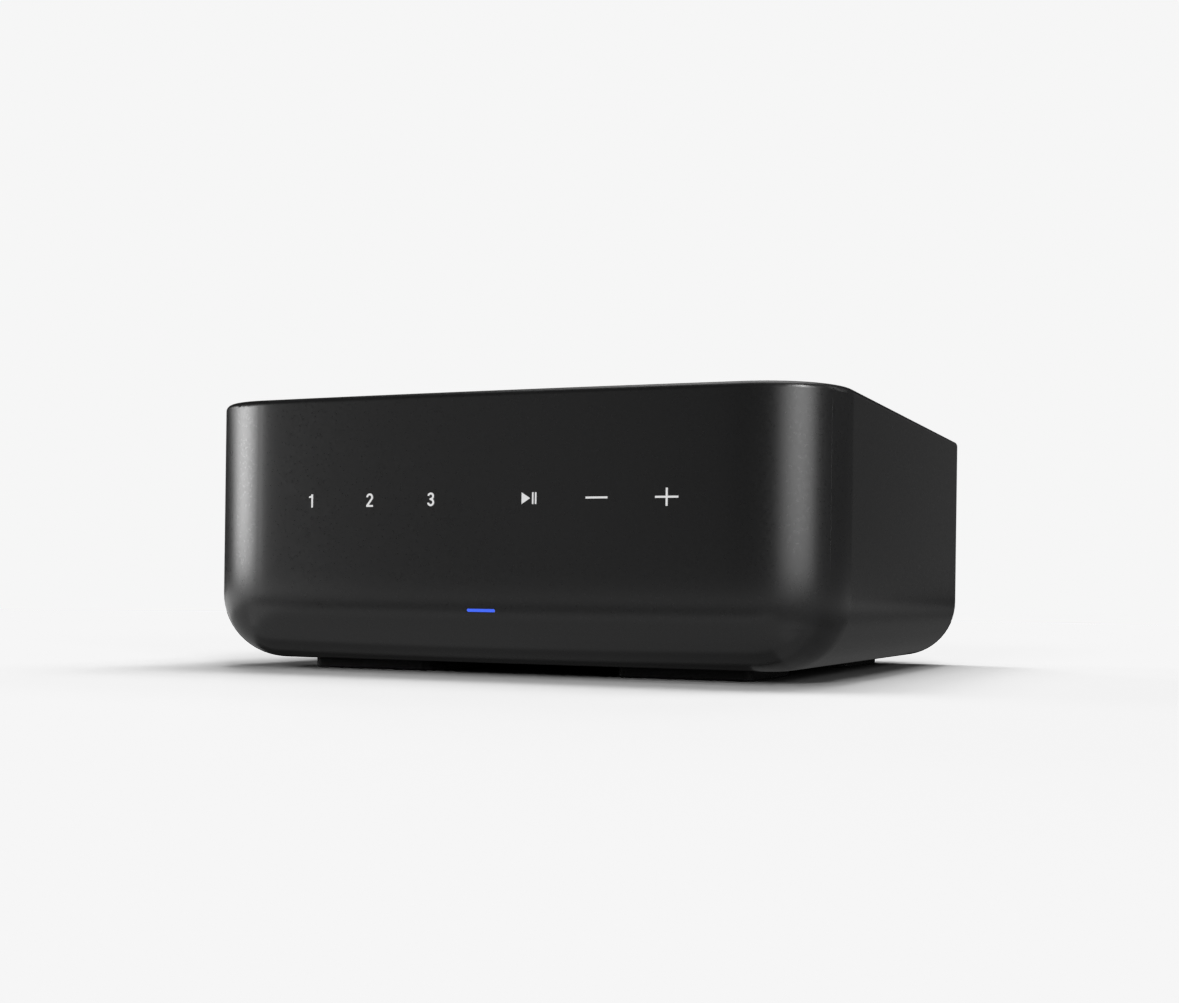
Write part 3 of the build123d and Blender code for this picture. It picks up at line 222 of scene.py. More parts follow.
def eased_corner(n, facing, half, radius, centre, start_deg, tip, ease_face, ease_arc):
    """Turns the wall's direction a little about the upright, so that flat face and round corner run into each other.

    The figures are half width, radius and centre of the corner, the angle where it starts, and the turn at that line,
    which fades over ease_face on the face and over ease_arc on the corner."""
    out_x = n.math("SUBTRACT", n.math("ABSOLUTE", n.xyz()[0]), half * MM)
    out_y = n.math("SUBTRACT", centre * MM, n.xyz()[1])
    run = n.math("MULTIPLY", n.math("SUBTRACT", n.math("ARCTAN2", out_x, out_y), math.radians(start_deg)), radius * MM)
    face = n.math("DIVIDE", n.math("MINIMUM", out_x, 0.0), ease_face * MM)
    arc = n.math("DIVIDE", n.math("MAXIMUM", run, 0.0), -ease_arc * MM)
    turn = n.math("MULTIPLY", n.math("EXPONENT", n.math("ADD", face, arc)), tip)
    # the first and last rows of facets on the corner start and end in the directions of the flat faces
    row, lean = radius * MM * math.radians(5.165), math.radians(2.58)
    first = n.math("MULTIPLY", n.math("GREATER_THAN", run, 0.0),
                   n.math("MULTIPLY", n.math("MAXIMUM", n.math("SUBTRACT", 1.0, n.math("DIVIDE", run, row)), 0.0), lean))
    end = n.math("SUBTRACT", run, radius * MM * math.radians(90.0 - start_deg) - row)
    last = n.math("MULTIPLY", n.math("LESS_THAN", end, row), n.math("MULTIPLY", n.math("MAXIMUM", end, 0.0), lean / row))
    turn = n.math("ADD", n.math("SUBTRACT", turn, first), last)
    parts = n.add("ShaderNodeSeparateXYZ")
    n.link(facing, parts.inputs[0])
    upright = n.math("SUBTRACT", 1.0, n.math("ABSOLUTE", parts.outputs[2]))
    turn = n.math("MULTIPLY", n.math("MULTIPLY", turn, upright), n.math("SIGN", n.xyz()[0]))
    along = n.add("ShaderNodeCombineXYZ")
    n.link(n.math("MULTIPLY", n.math("MULTIPLY", parts.outputs[1], turn), -1.0), along.inputs[0])
    n.link(n.math("MULTIPLY", parts.outputs[0], turn), along.inputs[1])
    both = n.add("ShaderNodeVectorMath", operation="ADD")
    n.link(facing, both.inputs[0])
    n.link(along.outputs[0], both.inputs[1])
    unit = n.add("ShaderNodeVectorMath", operation="NORMALIZE")
    n.link(both.outputs[0], unit.inputs[0])
    return unit.outputs[0]


def surface(name, base, rough, metallic=0.0, spec=0.5, mottle=0.10, mottle_mm=12.0, grain_mm=0.5, grain_depth_mm=0.01,
            grain_detail=2.0, rough_var=0.04, rough_mm=None, bevel_mm=0.0, stretch=None, zones=(), glow=None, glow_strength=0.0,
            coat=0.0, coat_rough=0.1, sheen=0.0, through=0.0, ior=None, roll=None, corner=None, matt_above=None):
    """A procedural finish: mottled colour, uneven gloss, fine relief and softened edges.

    zones are (ranges, colour) for features of another colour on the same piece. roll is (height, radius, easing) of a
    rolled lower edge and corner the same kind of figures for the upright corners, in millimetres. A level face above
    matt_above millimetres has a coarser finish."""
    mat, nt = new_material(name)
    n = Nodes(nt)
    out = n.add("ShaderNodeOutputMaterial")
    b = n.add("ShaderNodeBsdfPrincipled")
    n.link(b.outputs[0], out.inputs[0])
    cloud = n.spread(n.noise(mottle_mm, 3.0, 0.6, stretch), 0.0, 1.0)
    colour = n.blend(cloud, scaled(base, 1 - mottle), scaled(base, 1 + mottle))
    for where, tint in zones:
        colour = n.blend(n.inside(**where), colour, tint)
    n.link(colour, b.inputs["Base Color"])
    gloss = n.spread(n.noise(rough_mm or grain_mm * 3.0, 2.0, 0.5, stretch), rough - rough_var, rough + rough_var)
    if matt_above:
        gloss = n.math("ADD", gloss, n.math("MULTIPLY", n.inside(z=(matt_above, matt_above + 10.0)), 0.22))
    n.link(gloss, b.inputs["Roughness"])
    b.inputs["Metallic"].default_value = metallic
    b.inputs["Specular IOR Level"].default_value = spec
    if ior:
        b.inputs["IOR"].default_value = ior
    if coat:
        b.inputs["Coat Weight"].default_value = coat
        b.inputs["Coat Roughness"].default_value = coat_rough
    if sheen:
        b.inputs["Sheen Weight"].default_value = sheen
        b.inputs["Sheen Roughness"].default_value = 0.5
    if through:
        b.inputs["Transmission Weight"].default_value = through
    relief = n.add("ShaderNodeBump")
    relief.inputs["Strength"].default_value = 1.0
    if roll:
        # one relief in metres: the grain, and the slow easing of the wall into its rolled lower edge
        relief.inputs["Distance"].default_value = 1.0
        grain = n.math("MULTIPLY", n.noise(grain_mm, grain_detail, 0.6, stretch), grain_depth_mm * MM)
        start, radius, ease = (v * MM for v in roll)
        tilt = ease / (2 * radius)
        below = n.math("SUBTRACT", start, n.xyz()[2])
        wall = n.math("EXPONENT", n.math("DIVIDE", n.math("MINIMUM", below, 0.0), ease))
        share = n.math("MINIMUM", n.math("DIVIDE", n.math("MAXIMUM", below, 0.0), radius), 1.0)
        along = n.math("MULTIPLY", n.math("ARCSINE", share), -radius / ease)
        arc = n.math("SUBTRACT", 1.0, n.math("EXPONENT", along))
        drop = n.math("MULTIPLY", n.math("ADD", wall, arc), -tilt * ease)
        n.link(n.math("ADD", grain, drop), relief.inputs["Height"])
    else:
        relief.inputs["Distance"].default_value = grain_depth_mm * MM
        n.link(n.noise(grain_mm, grain_detail, 0.6, stretch), relief.inputs["Height"])
    if bevel_mm:
        soft = n.add("ShaderNodeBevel", samples=4)
        soft.inputs["Radius"].default_value = bevel_mm * MM
        facing = soft.outputs[0]
        if roll:
            facing = rolled_edge(n, facing, roll[0], roll[1])
        if corner:
            facing = eased_corner(n, facing, *corner)
        n.link(facing, relief.inputs["Normal"])
    n.link(relief.outputs[0], b.inputs["Normal"])
    if glow:
        lit = n.blend(n.spread(n.noise(1.5, 2.0), 0.0, 1.0), scaled(glow, 0.97), glow)
        n.link(lit, b.inputs["Emission Color"])
        b.inputs["Emission Strength"].default_value = glow_strength
    return mat


# ------------------------------------------------------------------ studio
PALE = 0.9216            # the even pale backdrop
world = bpy.data.worlds.new("studio")
scene.world = world
world.use_nodes = True
wt = world.node_tree
wt.nodes.clear()
w = Nodes(wt)
out = w.add("ShaderNodeOutputWorld")
mix = w.add("ShaderNodeMixShader")
path = w.add("ShaderNodeLightPath")
seen = w.add("ShaderNodeBackground")
seen.inputs["Color"].default_value = (PALE, PALE, PALE, 1)
seen.inputs["Strength"].default_value = 1.0
room = w.add("ShaderNodeBackground")
room.inputs["Color"].default_value = (1, 1, 1, 1)
room.inputs["Strength"].default_value = 0.0
w.link(path.outputs["Is Camera Ray"], mix.inputs[0])
w.link(room.outputs[0], mix.inputs[1])
w.link(seen.outputs[0], mix.inputs[2])
w.link(mix.outputs[0], out.inputs[0])

on_object = bpy.data.collections.new("lit_object")
on_rear = bpy.data.collections.new("lit_rear")
on_floor = bpy.data.collections.new("lit_floor")


def area_light(name, size_x, size_y, place, target, watts, lit=None):
    data = bpy.data.lights.new(name, "AREA")
    data.shape = "RECTANGLE"
    data.size, data.size_y = size_x, size_y
    data.energy = watts
    obj = bpy.data.objects.new(name, data)
    scene.collection.objects.link(obj)
    obj.location = place
    obj.rotation_mode = "QUATERNION"
    obj.rotation_quaternion = (Vector(target) - Vector(place)).to_track_quat("-Z", "Y")
    obj.visible_camera = False
    if lit is not None:
        obj.light_linking.receiver_collection = lit
    return obj


def around(azimuth, distance, z):
    """A place round the object: azimuth 0 is in front, + to the right."""
    a = math.radians(azimuth)
    return (distance * math.sin(a), -distance * math.cos(a), z)


# Tall soft strips to the left and right, which draw the long highlights on the two front corners.
# azimuth, width, lowest z, highest z, watts
STRIPS = [
    (-100, 0.13, 0.22, 0.55, 0.168), (-95, 0.13, 0.22, 0.55, 0.237), (-90, 0.13, 0.02, 0.22, 0.0722),
    (-90, 0.13, 0.22, 0.55, 0.395), (-85, 0.13, 0.02, 0.22, 0.283), (-85, 0.13, 0.22, 0.55, 0.631),
    (-80, 0.13, 0.02, 0.22, 0.561), (-80, 0.13, 0.22, 0.55, 0.908), (-75, 0.13, 0.02, 0.22, 0.814), (-75, 0.13, 0.22, 0.55, 1.16),
    (-70, 0.13, 0.02, 0.22, 0.979), (-70, 0.13, 0.22, 0.55, 1.32), (-65, 0.13, 0.02, 0.22, 1.02), (-65, 0.13, 0.22, 0.55, 1.33),
    (-60, 0.13, 0.02, 0.22, 0.893), (-60, 0.13, 0.22, 0.55, 1.14), (-55, 0.13, 0.02, 0.22, 0.586), (-55, 0.13, 0.22, 0.55, 0.755),
    (-50, 0.13, 0.02, 0.22, 0.169), (-50, 0.13, 0.22, 0.55, 0.264), (-30, 0.28, 0.02, 0.45, 0.0713),
    (-20, 0.28, 0.02, 0.45, 0.119), (-10, 0.28, 0.02, 0.45, 0.0509), (0, 0.28, 0.02, 0.45, 0.0219),
    (10, 0.28, 0.02, 0.45, 0.0219), (20, 0.28, 0.02, 0.45, 0.0146), (42, 0.13, 0.02, 0.22, 0.183), (42, 0.13, 0.22, 0.55, 0.29),
    (47, 0.13, 0.02, 0.22, 0.282), (47, 0.13, 0.22, 0.55, 0.397), (52, 0.13, 0.02, 0.22, 0.406), (52, 0.13, 0.22, 0.55, 0.536),
    (57, 0.13, 0.02, 0.22, 0.493), (57, 0.13, 0.22, 0.55, 0.629), (57, 0.13, 0.55, 1.3, 3.09), (62, 0.13, 0.02, 0.22, 0.511),
    (62, 0.13, 0.22, 0.55, 0.64), (67, 0.13, 0.02, 0.22, 0.465), (67, 0.13, 0.22, 0.55, 0.571), (67, 0.13, 0.55, 1.3, 17),
    (72, 0.13, 0.02, 0.22, 0.384), (72, 0.13, 0.22, 0.55, 0.465), (77, 0.13, 0.02, 0.22, 0.32), (77, 0.13, 0.22, 0.55, 0.385),
    (125, 0.36, 0.45, 1.4, 1.32), (145, 0.28, 0.02, 0.45, 0.0212), (168, 0.28, 0.02, 0.45, 0.05),
]
for az, wide, z0, z1, watts in STRIPS:
    area_light(f"strip_{az}_{int(z0 * 100)}", wide, z1 - z0, around(az, 1.5, (z0 + z1) / 2), (0, 0, (z0 + z1) / 2), watts, on_object)

# Glow of the bright table on the rolled lower edges: flat cards facing up just above it.
# x from, x to, y from, y to, watts
CARDS = [
    (-0.6, 0.6, -0.7, -0.4, 0.0312), (-0.4, 0.45, -0.4, -0.28, 0.092), (-0.5, -0.17, -0.3, 0.2, 0.566),
    (0.28, 0.6, -0.3, 0.5, 0.16), (-0.3, 0.35, -0.28, -0.21, 0.055), (0.18, 0.28, -0.25, 0.3, 0.0551),
    (-0.25, 0.28, -0.21, -0.165, 0.0445), (0.13, 0.18, -0.17, 0.45, 0.0142), (-0.17, -0.1, -0.15, 0.1, 0.0202),
    (0.112, 0.17, -0.15, -0.09, 0.00126), (-0.14, 0.16, -0.14, -0.128, 0.00709), (0.128, 0.15, -0.14, 0.4, 0.00125),
    (0.115, 0.128, -0.13, 0.35, 0.00257), (-0.13, 0.15, -0.128, -0.119, 0.00322), (0.107, 0.115, -0.12, 0.3, 0.00131),
    (-0.12, 0.14, -0.119, -0.112, 0.00244), (-0.11, 0.13, -0.112, -0.106, 0.00184), (0.1, 0.107, -0.11, 0.28, 0.00114),
    (-0.1, 0.12, -0.106, -0.1, 0.00149), (-0.14, -0.108, -0.1, 0.05, 0.00915), (-0.1, 0.12, -0.1, -0.092, 0.000777),
    (0.092, 0.1, -0.1, 0.25, 0.00132), (-0.1, 0.11, -0.092, -0.082, 0.000195), (0.08, 0.092, -0.09, 0.09, 0.00081),
    (0.28, 1.3, 0.5, 1.8, 0.7),
]
for i, (x0, x1, y0, y1, watts) in enumerate(CARDS):
    card = area_light(f"card_{i}", x1 - x0, y1 - y0, ((x0 + x1) / 2, (y0 + y1) / 2, 0.001), ((x0 + x1) / 2, (y0 + y1) / 2, 1.0), watts, on_object)
    card.rotation_mode = "XYZ"
    card.rotation_euler = (math.pi, 0, 0)

# Soft lights for the sides that the front view doesn't show: two on the rear panel and its sockets, one over the top.
area_light("back_left", 0.9, 0.8, around(-150, 1.6, 0.75), (0, 0.05, 0.05), 16.0, on_rear)
area_light("back_right", 0.5, 0.7, (-0.30, 1.5, 0.45), (-0.05, 0.09, 0.05), 8.0, on_rear)
area_light("top_soft", 1.2, 1.2, (0.0, 0.25, 1.5), (0, 0, 0.08), 12.0, on_object)

# Lights of the table: soft squares overhead, behind and low round it, which put the shadow in front of the object.
# azimuth, height in degrees, watts
TABLE_LIGHTS = [
    (-120, 75, 5.00), (30, 40, 4.49), (-180, 75, 4.03), (165, 65, 3.74), (30, 75, 2.26), (0, 20, 3.94), (-180, 84, 2.21),
    (-150, 75, 2.13), (150, 75, 1.99), (-120, 65, 2.16), (60, 65, 1.43), (150, 55, 1.89), (45, 20, 1.93), (-90, 20, 2.52),
    (-180, 40, 1.44), (-135, 20, 2.25), (150, 40, 0.33), (165, 55, 0.23), (-180, 20, 0.25),
]
for az, el, watts in TABLE_LIGHTS:
    e = math.radians(el)
    area_light(f"table_{az}_{el}", 0.3, 0.3, around(az, 1.6 * math.cos(e), 1.6 * math.sin(e)), (0, 0, 0), watts, on_floor)

# Plain pale table top, which runs into the backdrop without a visible edge.
floor_mesh = bpy.data.meshes.new("floor")
bm = bmesh.new()
for i in range(96):
    turn = 2 * math.pi * i / 96
    bm.verts.new((1.3 * math.cos(turn), 1.3 * math.sin(turn), 0.0))
bm.faces.new(bm.verts)
bm.to_mesh(floor_mesh)
bm.free()
floor = bpy.data.objects.new("floor", floor_mesh)
scene.collection.objects.link(floor)
mat, nt = new_material("floor_pale")
n = Nodes(nt)
out = n.add("ShaderNodeOutputMaterial")
matt = n.add("ShaderNodeBsdfDiffuse")
matt.inputs["Color"].default_value = (0.8, 0.8, 0.8, 1)
clear = n.add("ShaderNodeBsdfTransparent")
side = n.add("ShaderNodeNewGeometry")
pick = n.add("ShaderNodeMixShader")
n.link(side.outputs["Backfacing"], pick.inputs[0])
n.link(matt.outputs[0], pick.inputs[1])
n.link(clear.outputs[0], pick.inputs[2])
n.link(pick.outputs[0], out.inputs[0])
floor_mesh.materials.append(mat)
floor.is_shadow_catcher = True
floor.visible_diffuse = False
floor.visible_glossy = False
floor.visible_transmission = False
on_floor.objects.link(floor)

# ------------------------------------------------------------------ finishes
GOLD = (0.83, 0.60, 0.25)
TIN = (0.62, 0.62, 0.60)
CHIP = (0.012, 0.012, 0.013)
SILK = (0.75, 0.75, 0.72)

housing = surface("housing_finish", (0.0120, 0.0120, 0.0122), 0.30, mottle=0.10, mottle_mm=0.7, grain_mm=0.36, grain_depth_mm=0.0045,
                  rough_var=0.03, rough_mm=0.9, bevel_mm=0.35, roll=(24.9, 21.4, 5.0),
                  corner=(81.5, 27.0, -79.94, 2.19, 0.105, 3.6, 13.0), matt_above=87.7)
symbol = surface("symbol_finish", (0.22, 0.22, 0.22), 0.45, mottle=0.02, mottle_mm=2.0, grain_mm=0.4, grain_depth_mm=0.002,
                 glow=(0.80, 0.80, 0.805), glow_strength=0.70)
lamp = surface("lamp_finish", (0.02, 0.05, 0.35), 0.35, mottle=0.05, mottle_mm=2.0, grain_mm=0.5, grain_depth_mm=0.003,
               glow=(0.053, 0.140, 0.95), glow_strength=0.8)
FINISH = {
    "housing_plastic": housing,
    "symbol_window": symbol,
    "status_light": lamp,
    "plate_paint": surface("plate_finish", (0.020, 0.020, 0.021), 0.48, spec=0.45, mottle=0.12, mottle_mm=1.2, grain_mm=0.55,
                           grain_depth_mm=0.02, rough_var=0.05, bevel_mm=0.25),
    "panel_paint": surface("panel_finish", (0.018, 0.018, 0.019), 0.45, spec=0.45, mottle=0.10, mottle_mm=1.2, grain_mm=0.5,
                           grain_depth_mm=0.015, rough_var=0.05, bevel_mm=0.2),
    "foot_rubber": surface("foot_finish", (0.0060, 0.0060, 0.0062), 0.75, spec=0.25, mottle=0.15, mottle_mm=3.0, grain_mm=0.4,
                           grain_depth_mm=0.02, rough_var=0.06, bevel_mm=0.4),
    "white_plastic": surface("frame_finish", (0.78, 0.78, 0.76), 0.5, mottle=0.03, mottle_mm=8.0, grain_mm=0.6, grain_depth_mm=0.01,
                             bevel_mm=0.2),
    "flat_cable": surface("ribbon_finish", (0.80, 0.79, 0.75), 0.4, mottle=0.10, mottle_mm=0.5, grain_mm=0.5, grain_depth_mm=0.01,
                          stretch=(1.0, 0.05, 0.05)),
    "heatsink_metal": surface("heatsink_finish", (0.62, 0.63, 0.65), 0.38, metallic=1.0, mottle=0.06, mottle_mm=0.4, grain_mm=0.25,
                              grain_depth_mm=0.008, stretch=(1.0, 0.04, 1.0), bevel_mm=0.15),
    "shield_can": surface("shield_finish", (0.66, 0.66, 0.65), 0.28, metallic=1.0, mottle=0.05, mottle_mm=3.0, grain_mm=0.3,
                          grain_depth_mm=0.004, bevel_mm=0.15),
    "aerial_film": surface("aerial_finish", (0.33, 0.19, 0.06), 0.42, mottle=0.12, mottle_mm=2.0, grain_mm=0.4, grain_depth_mm=0.005),
    "lead_jacket": surface("lead_finish", (0.03, 0.03, 0.032), 0.45, mottle=0.15, mottle_mm=3.0, grain_mm=0.5, grain_depth_mm=0.01,
                           zones=[({"x": (17, 23), "y": (30, 90)}, (0.02, 0.02, 0.02)), ({"x": (28, 42), "y": (30, 90)}, (0.45, 0.02, 0.02)),
                                  ({"x": (46, 55), "y": (30, 70)}, (0.02, 0.02, 0.02)), ({"x": (57, 80), "y": (30, 90)}, (0.45, 0.02, 0.02)),
                                  ({"x": (-84, -73), "y": (20, 80)}, (0.25, 0.12, 0.03)), ({"x": (-64, -50), "y": (20, 80)}, (0.02, 0.10, 0.42))]),
    "coil_ferrite": surface("ferrite_finish", (0.030, 0.030, 0.032), 0.55, mottle=0.2, mottle_mm=1.5, grain_mm=0.5, grain_depth_mm=0.03,
                            bevel_mm=0.3, zones=[({"x": (-50.5, -25.5), "y": (-31.5, -4.5), "z": (18, 40)}, (0.62, 0.48, 0.06))]),
    "capacitor_can": surface("can_finish", (0.035, 0.040, 0.075), 0.32, mottle=0.08, mottle_mm=4.0, grain_mm=0.8, grain_depth_mm=0.01,
                             bevel_mm=0.3, coat=0.3, coat_rough=0.2),
    "winding": surface("winding_finish", (0.60, 0.24, 0.07), 0.30, metallic=0.6, mottle=0.25, mottle_mm=0.7, grain_mm=0.8,
                       grain_depth_mm=0.12, stretch=(1.0, 0.15, 1.0)),
    "insulator_film": surface("film_finish", (0.05, 0.05, 0.05), 0.22, mottle=0.1, mottle_mm=9.0, grain_mm=3.0, grain_depth_mm=0.05),
    "spacer_brass": surface("spacer_finish", (0.72, 0.52, 0.22), 0.30, metallic=1.0, mottle=0.08, mottle_mm=2.0, grain_mm=0.3,
                            grain_depth_mm=0.005, bevel_mm=0.15),
    "screw_zinc": surface("zinc_finish", (0.60, 0.60, 0.62), 0.30, metallic=1.0, mottle=0.08, mottle_mm=1.0, grain_mm=0.3,
                          grain_depth_mm=0.006, bevel_mm=0.12),
    "screw_black": surface("black_screw_finish", (0.022, 0.022, 0.024), 0.36, metallic=0.35, mottle=0.15, mottle_mm=1.0, grain_mm=0.3,
                           grain_depth_mm=0.008, bevel_mm=0.15),
    "socket_plastic": surface("socket_finish", (0.014, 0.014, 0.015), 0.38, mottle=0.08, mottle_mm=2.0, grain_mm=0.6,
                              grain_depth_mm=0.008, bevel_mm=0.15,
                              zones=[({"x": (-51.2, -42.8), "y": (75.5, 86.4), "z": (63.4, 66.3)}, GOLD)]),
    "blade_metal": surface("blade_finish", (0.66, 0.65, 0.62), 0.24, metallic=1.0, mottle=0.05, mottle_mm=2.0, grain_mm=0.3,
                           grain_depth_mm=0.004, bevel_mm=0.15),
    "socket_shell": surface("shell_finish", (0.64, 0.64, 0.65), 0.27, metallic=1.0, mottle=0.06, mottle_mm=2.0, grain_mm=0.3,
                            grain_depth_mm=0.006, bevel_mm=0.12,
                            zones=[({"x": (-31.8, -20.2), "y": (78.3, 88.6), "z": (57.5, 59.6)}, (0.02, 0.02, 0.021)),
                                   ({"x": (-10.8, 0.8), "y": (79.2, 88.6), "z": (57.35, 58.75)}, (0.02, 0.02, 0.021))]),
    "shutter_plastic": surface("shutter_finish", (0.018, 0.018, 0.019), 0.48, mottle=0.1, mottle_mm=2.0, grain_mm=0.4,
                               grain_depth_mm=0.01, bevel_mm=0.1),
    "socket_gold": surface("gold_finish", GOLD, 0.22, metallic=1.0, mottle=0.05, mottle_mm=2.5, grain_mm=0.4, grain_depth_mm=0.004,
                           rough_var=0.05, bevel_mm=0.15),
    "insert_white": surface("insert_finish", (0.78, 0.78, 0.76), 0.36, mottle=0.03, mottle_mm=3.0, grain_mm=0.6, grain_depth_mm=0.006,
                            bevel_mm=0.2, zones=[({"z": (10, 31)}, (0.55, 0.012, 0.012))]),
    "button_plastic": surface("button_finish", (0.030, 0.030, 0.031), 0.45, mottle=0.08, mottle_mm=2.0, grain_mm=0.4,
                              grain_depth_mm=0.01, bevel_mm=0.15),
    "terminal_plastic": surface("terminal_finish", (0.016, 0.016, 0.017), 0.42, mottle=0.08, mottle_mm=2.0, grain_mm=0.5,
                                grain_depth_mm=0.012, bevel_mm=0.25),
    "nut_black": surface("nut_black_finish", (0.014, 0.014, 0.014), 0.24, mottle=0.06, mottle_mm=3.0, grain_mm=1.0,
                         grain_depth_mm=0.006, bevel_mm=0.25, coat=0.25, coat_rough=0.12),
    "nut_red": surface("nut_red_finish", (0.42, 0.010, 0.012), 0.24, mottle=0.06, mottle_mm=3.0, grain_mm=1.0,
                       grain_depth_mm=0.006, bevel_mm=0.25, coat=0.25, coat_rough=0.12),
}


def board_finish(name, copper_z, faces_y=None):
    """Green solder mask with faint tracks. Everything that stands up from the board is dark moulded parts."""
    mat, nt = new_material(name)
    n = Nodes(nt)
    out = n.add("ShaderNodeOutputMaterial")
    b = n.add("ShaderNodeBsdfPrincipled")
    n.link(b.outputs[0], out.inputs[0])
    mask_green = (0.008, 0.085, 0.030)
    track = n.add("ShaderNodeTexVoronoi", feature="DISTANCE_TO_EDGE", distance="MANHATTAN")
    track.inputs["Scale"].default_value = 420.0
    n.link(n.place(), track.inputs["Vector"])
    lines = n.math("LESS_THAN", track.outputs["Distance"], 0.045)
    colour = n.blend(lines, mask_green, scaled(mask_green, 1.8))
    cloud = n.spread(n.noise(9.0, 3.0), 0.0, 1.0)
    colour = n.blend(n.math("MULTIPLY", cloud, 0.35), colour, scaled(mask_green, 0.6))
    x, y, z = n.xyz()
    if faces_y is None:
        above = n.math("GREATER_THAN", z, (copper_z + 0.15) * MM)
    else:
        above = n.math("LESS_THAN", n.math("MULTIPLY", y, -1.0), -(faces_y + 0.15) * MM)
    parts = n.blend(n.spread(n.noise(4.0, 1.0), 0.0, 1.0, 0.45, 0.55), CHIP, (0.045, 0.045, 0.047))
    colour = n.blend(above, colour, parts)
    n.link(colour, b.inputs["Base Color"])
    n.link(n.spread(n.noise(1.2), 0.28, 0.42), b.inputs["Roughness"])
    relief = n.add("ShaderNodeBump")
    relief.inputs["Distance"].default_value = 0.03 * MM
    n.link(lines, relief.inputs["Height"])
    soft = n.add("ShaderNodeBevel", samples=4)
    soft.inputs["Radius"].default_value = 0.15 * MM
    n.link(soft.outputs[0], relief.inputs["Normal"])
    n.link(relief.outputs[0], b.inputs["Normal"])
    return mat


slot_of = {p["node"]: p["material_slot"] for p in frame["record"]["subparts"]}
for name, node in nodes.items():
    slot = slot_of[name]
    if slot == "circuit_board":
        lo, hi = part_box(name)
        if name == "touch_board":
            m = board_finish("board_" + name, 0.0, faces_y=lo[1] / MM + 1.6)
        elif name == "line_board":
            m = board_finish("board_" + name, 200.0)
        else:
            m = board_finish("board_" + name, lo[2] / MM + 1.7)
    else:
        m = FINISH[slot]
    for s in node.material_slots:
        s.material = m


# ------------------------------------------------------------------ pieces built as meshes
def mesh_piece(name, body, mat, build, smooth=False):
    mesh = bpy.data.meshes.new(name)
    b = bmesh.new()
    build(b)
    bmesh.ops.recalc_face_normals(b, faces=b.faces)
    b.to_mesh(mesh)
    b.free()
    if smooth:
        for p in mesh.polygons:
            p.use_smooth = True
    obj = bpy.data.objects.new(name, mesh)
    scene.collection.objects.link(obj)
    mesh.materials.append(mat)
    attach(obj, body)
    return obj


def slab(b, outline, y0, y1):
    """A closed slab from an outline in X and Z, between two planes of Y. All in millimetres."""
    a = [b.verts.new((x * MM, y0 * MM, z * MM)) for x, z in outline]
    c = [b.verts.new((x * MM, y1 * MM, z * MM)) for x, z in outline]
    b.faces.new(a)
    b.faces.new(list(reversed(c)))
    k = len(outline)
    for i in range(k):
        j = (i + 1) % k
        b.faces.new((a[i], c[i], c[j], a[j]))


def stroke(b, points, wide, y0, y1, x0, z0):
    """Printed stroke along points in a reader's view from behind: u to the right, v up."""
    for (u0, v0), (u1, v1) in zip(points, points[1:]):
        du, dv = u1 - u0, v1 - v0
        length = math.hypot(du, dv)
        tu, tv = du / length * wide / 2, dv / length * wide / 2
        nu, nv = -tv, tu
        corners = [(u0 - tu + nu, v0 - tv + nv), (u0 - tu - nu, v0 - tv - nv), (u1 + tu - nu, v1 + tv - nv), (u1 + tu + nu, v1 + tv + nv)]
        slab(b, [(x0 - u, z0 + v) for u, v in corners], y0, y1)


def bowl(cx, cz, rx, rz, start, end, steps=8):
    return [(cx + rx * math.cos(math.radians(start + (end - start) * i / steps)),
             cz + rz * math.sin(math.radians(start + (end - start) * i / steps))) for i in range(steps + 1)]


ink = surface("ink_finish", (0.62, 0.62, 0.61), 0.55, mottle=0.05, mottle_mm=0.8, grain_mm=0.3, grain_depth_mm=0.004)
PANEL_OUT = 89.8
POST_X = (20.0, 39.0, 58.0, 77.0)
LETTER_L = [[(-0.75, 1.2), (-0.75, -1.2), (0.8, -1.2)]]
LETTER_R = [[(-0.8, -1.2), (-0.8, 1.2), (0.1, 1.2)] + bowl(0.1, 0.6, 0.7, 0.6, 90, -90)[1:] + [(-0.8, 0.0)], [(0.05, 0.0), (0.85, -1.2)]]
PLUS = [[(-1.1, 0), (1.1, 0)], [(0, -1.1), (0, 1.1)]]
MINUS = [[(-1.1, 0), (1.1, 0)]]


def marks(b):
    y0, y1 = PANEL_OUT - 0.02, PANEL_OUT + 0.03
    for i, x in enumerate(POST_X):
        for line in (PLUS if i % 2 else MINUS):
            stroke(b, line, 0.42, y0, y1, x, 44.2)
    for x, letter in ((29.5, LETTER_L), (67.5, LETTER_R)):
        for line in letter:
            stroke(b, line, 0.40, y0, y1, x, 44.2)
    for z, letter in ((38.0, LETTER_L), (24.0, LETTER_R)):
        for line in letter:
            stroke(b, [(u * 0.8, v * 0.8) for u, v in line], 0.34, y0, y1, -22.0, z)
    # small arrows over the two columns of line sockets: in and out
    for x, up_ in ((-29.0, -1), (-15.0, 1)):
        slab(b, [(x - 1.1, 46.0 - 0.8 * up_), (x + 1.1, 46.0 - 0.8 * up_), (x, 46.0 + 0.9 * up_)], y0, y1)
    # thin frame lines that group the left and right posts
    for xa, xb in ((12.5, 27.3), (31.7, 46.5), (50.5, 65.3), (69.7, 84.5)):
        slab(b, [(xa, 46.3), (xb, 46.3), (xb, 46.55), (xa, 46.55)], y0, y1)


mesh_piece("panel_marks", "case", ink, marks)

# Spring contacts in the two shielded sockets.
gold_finish = FINISH["socket_gold"]


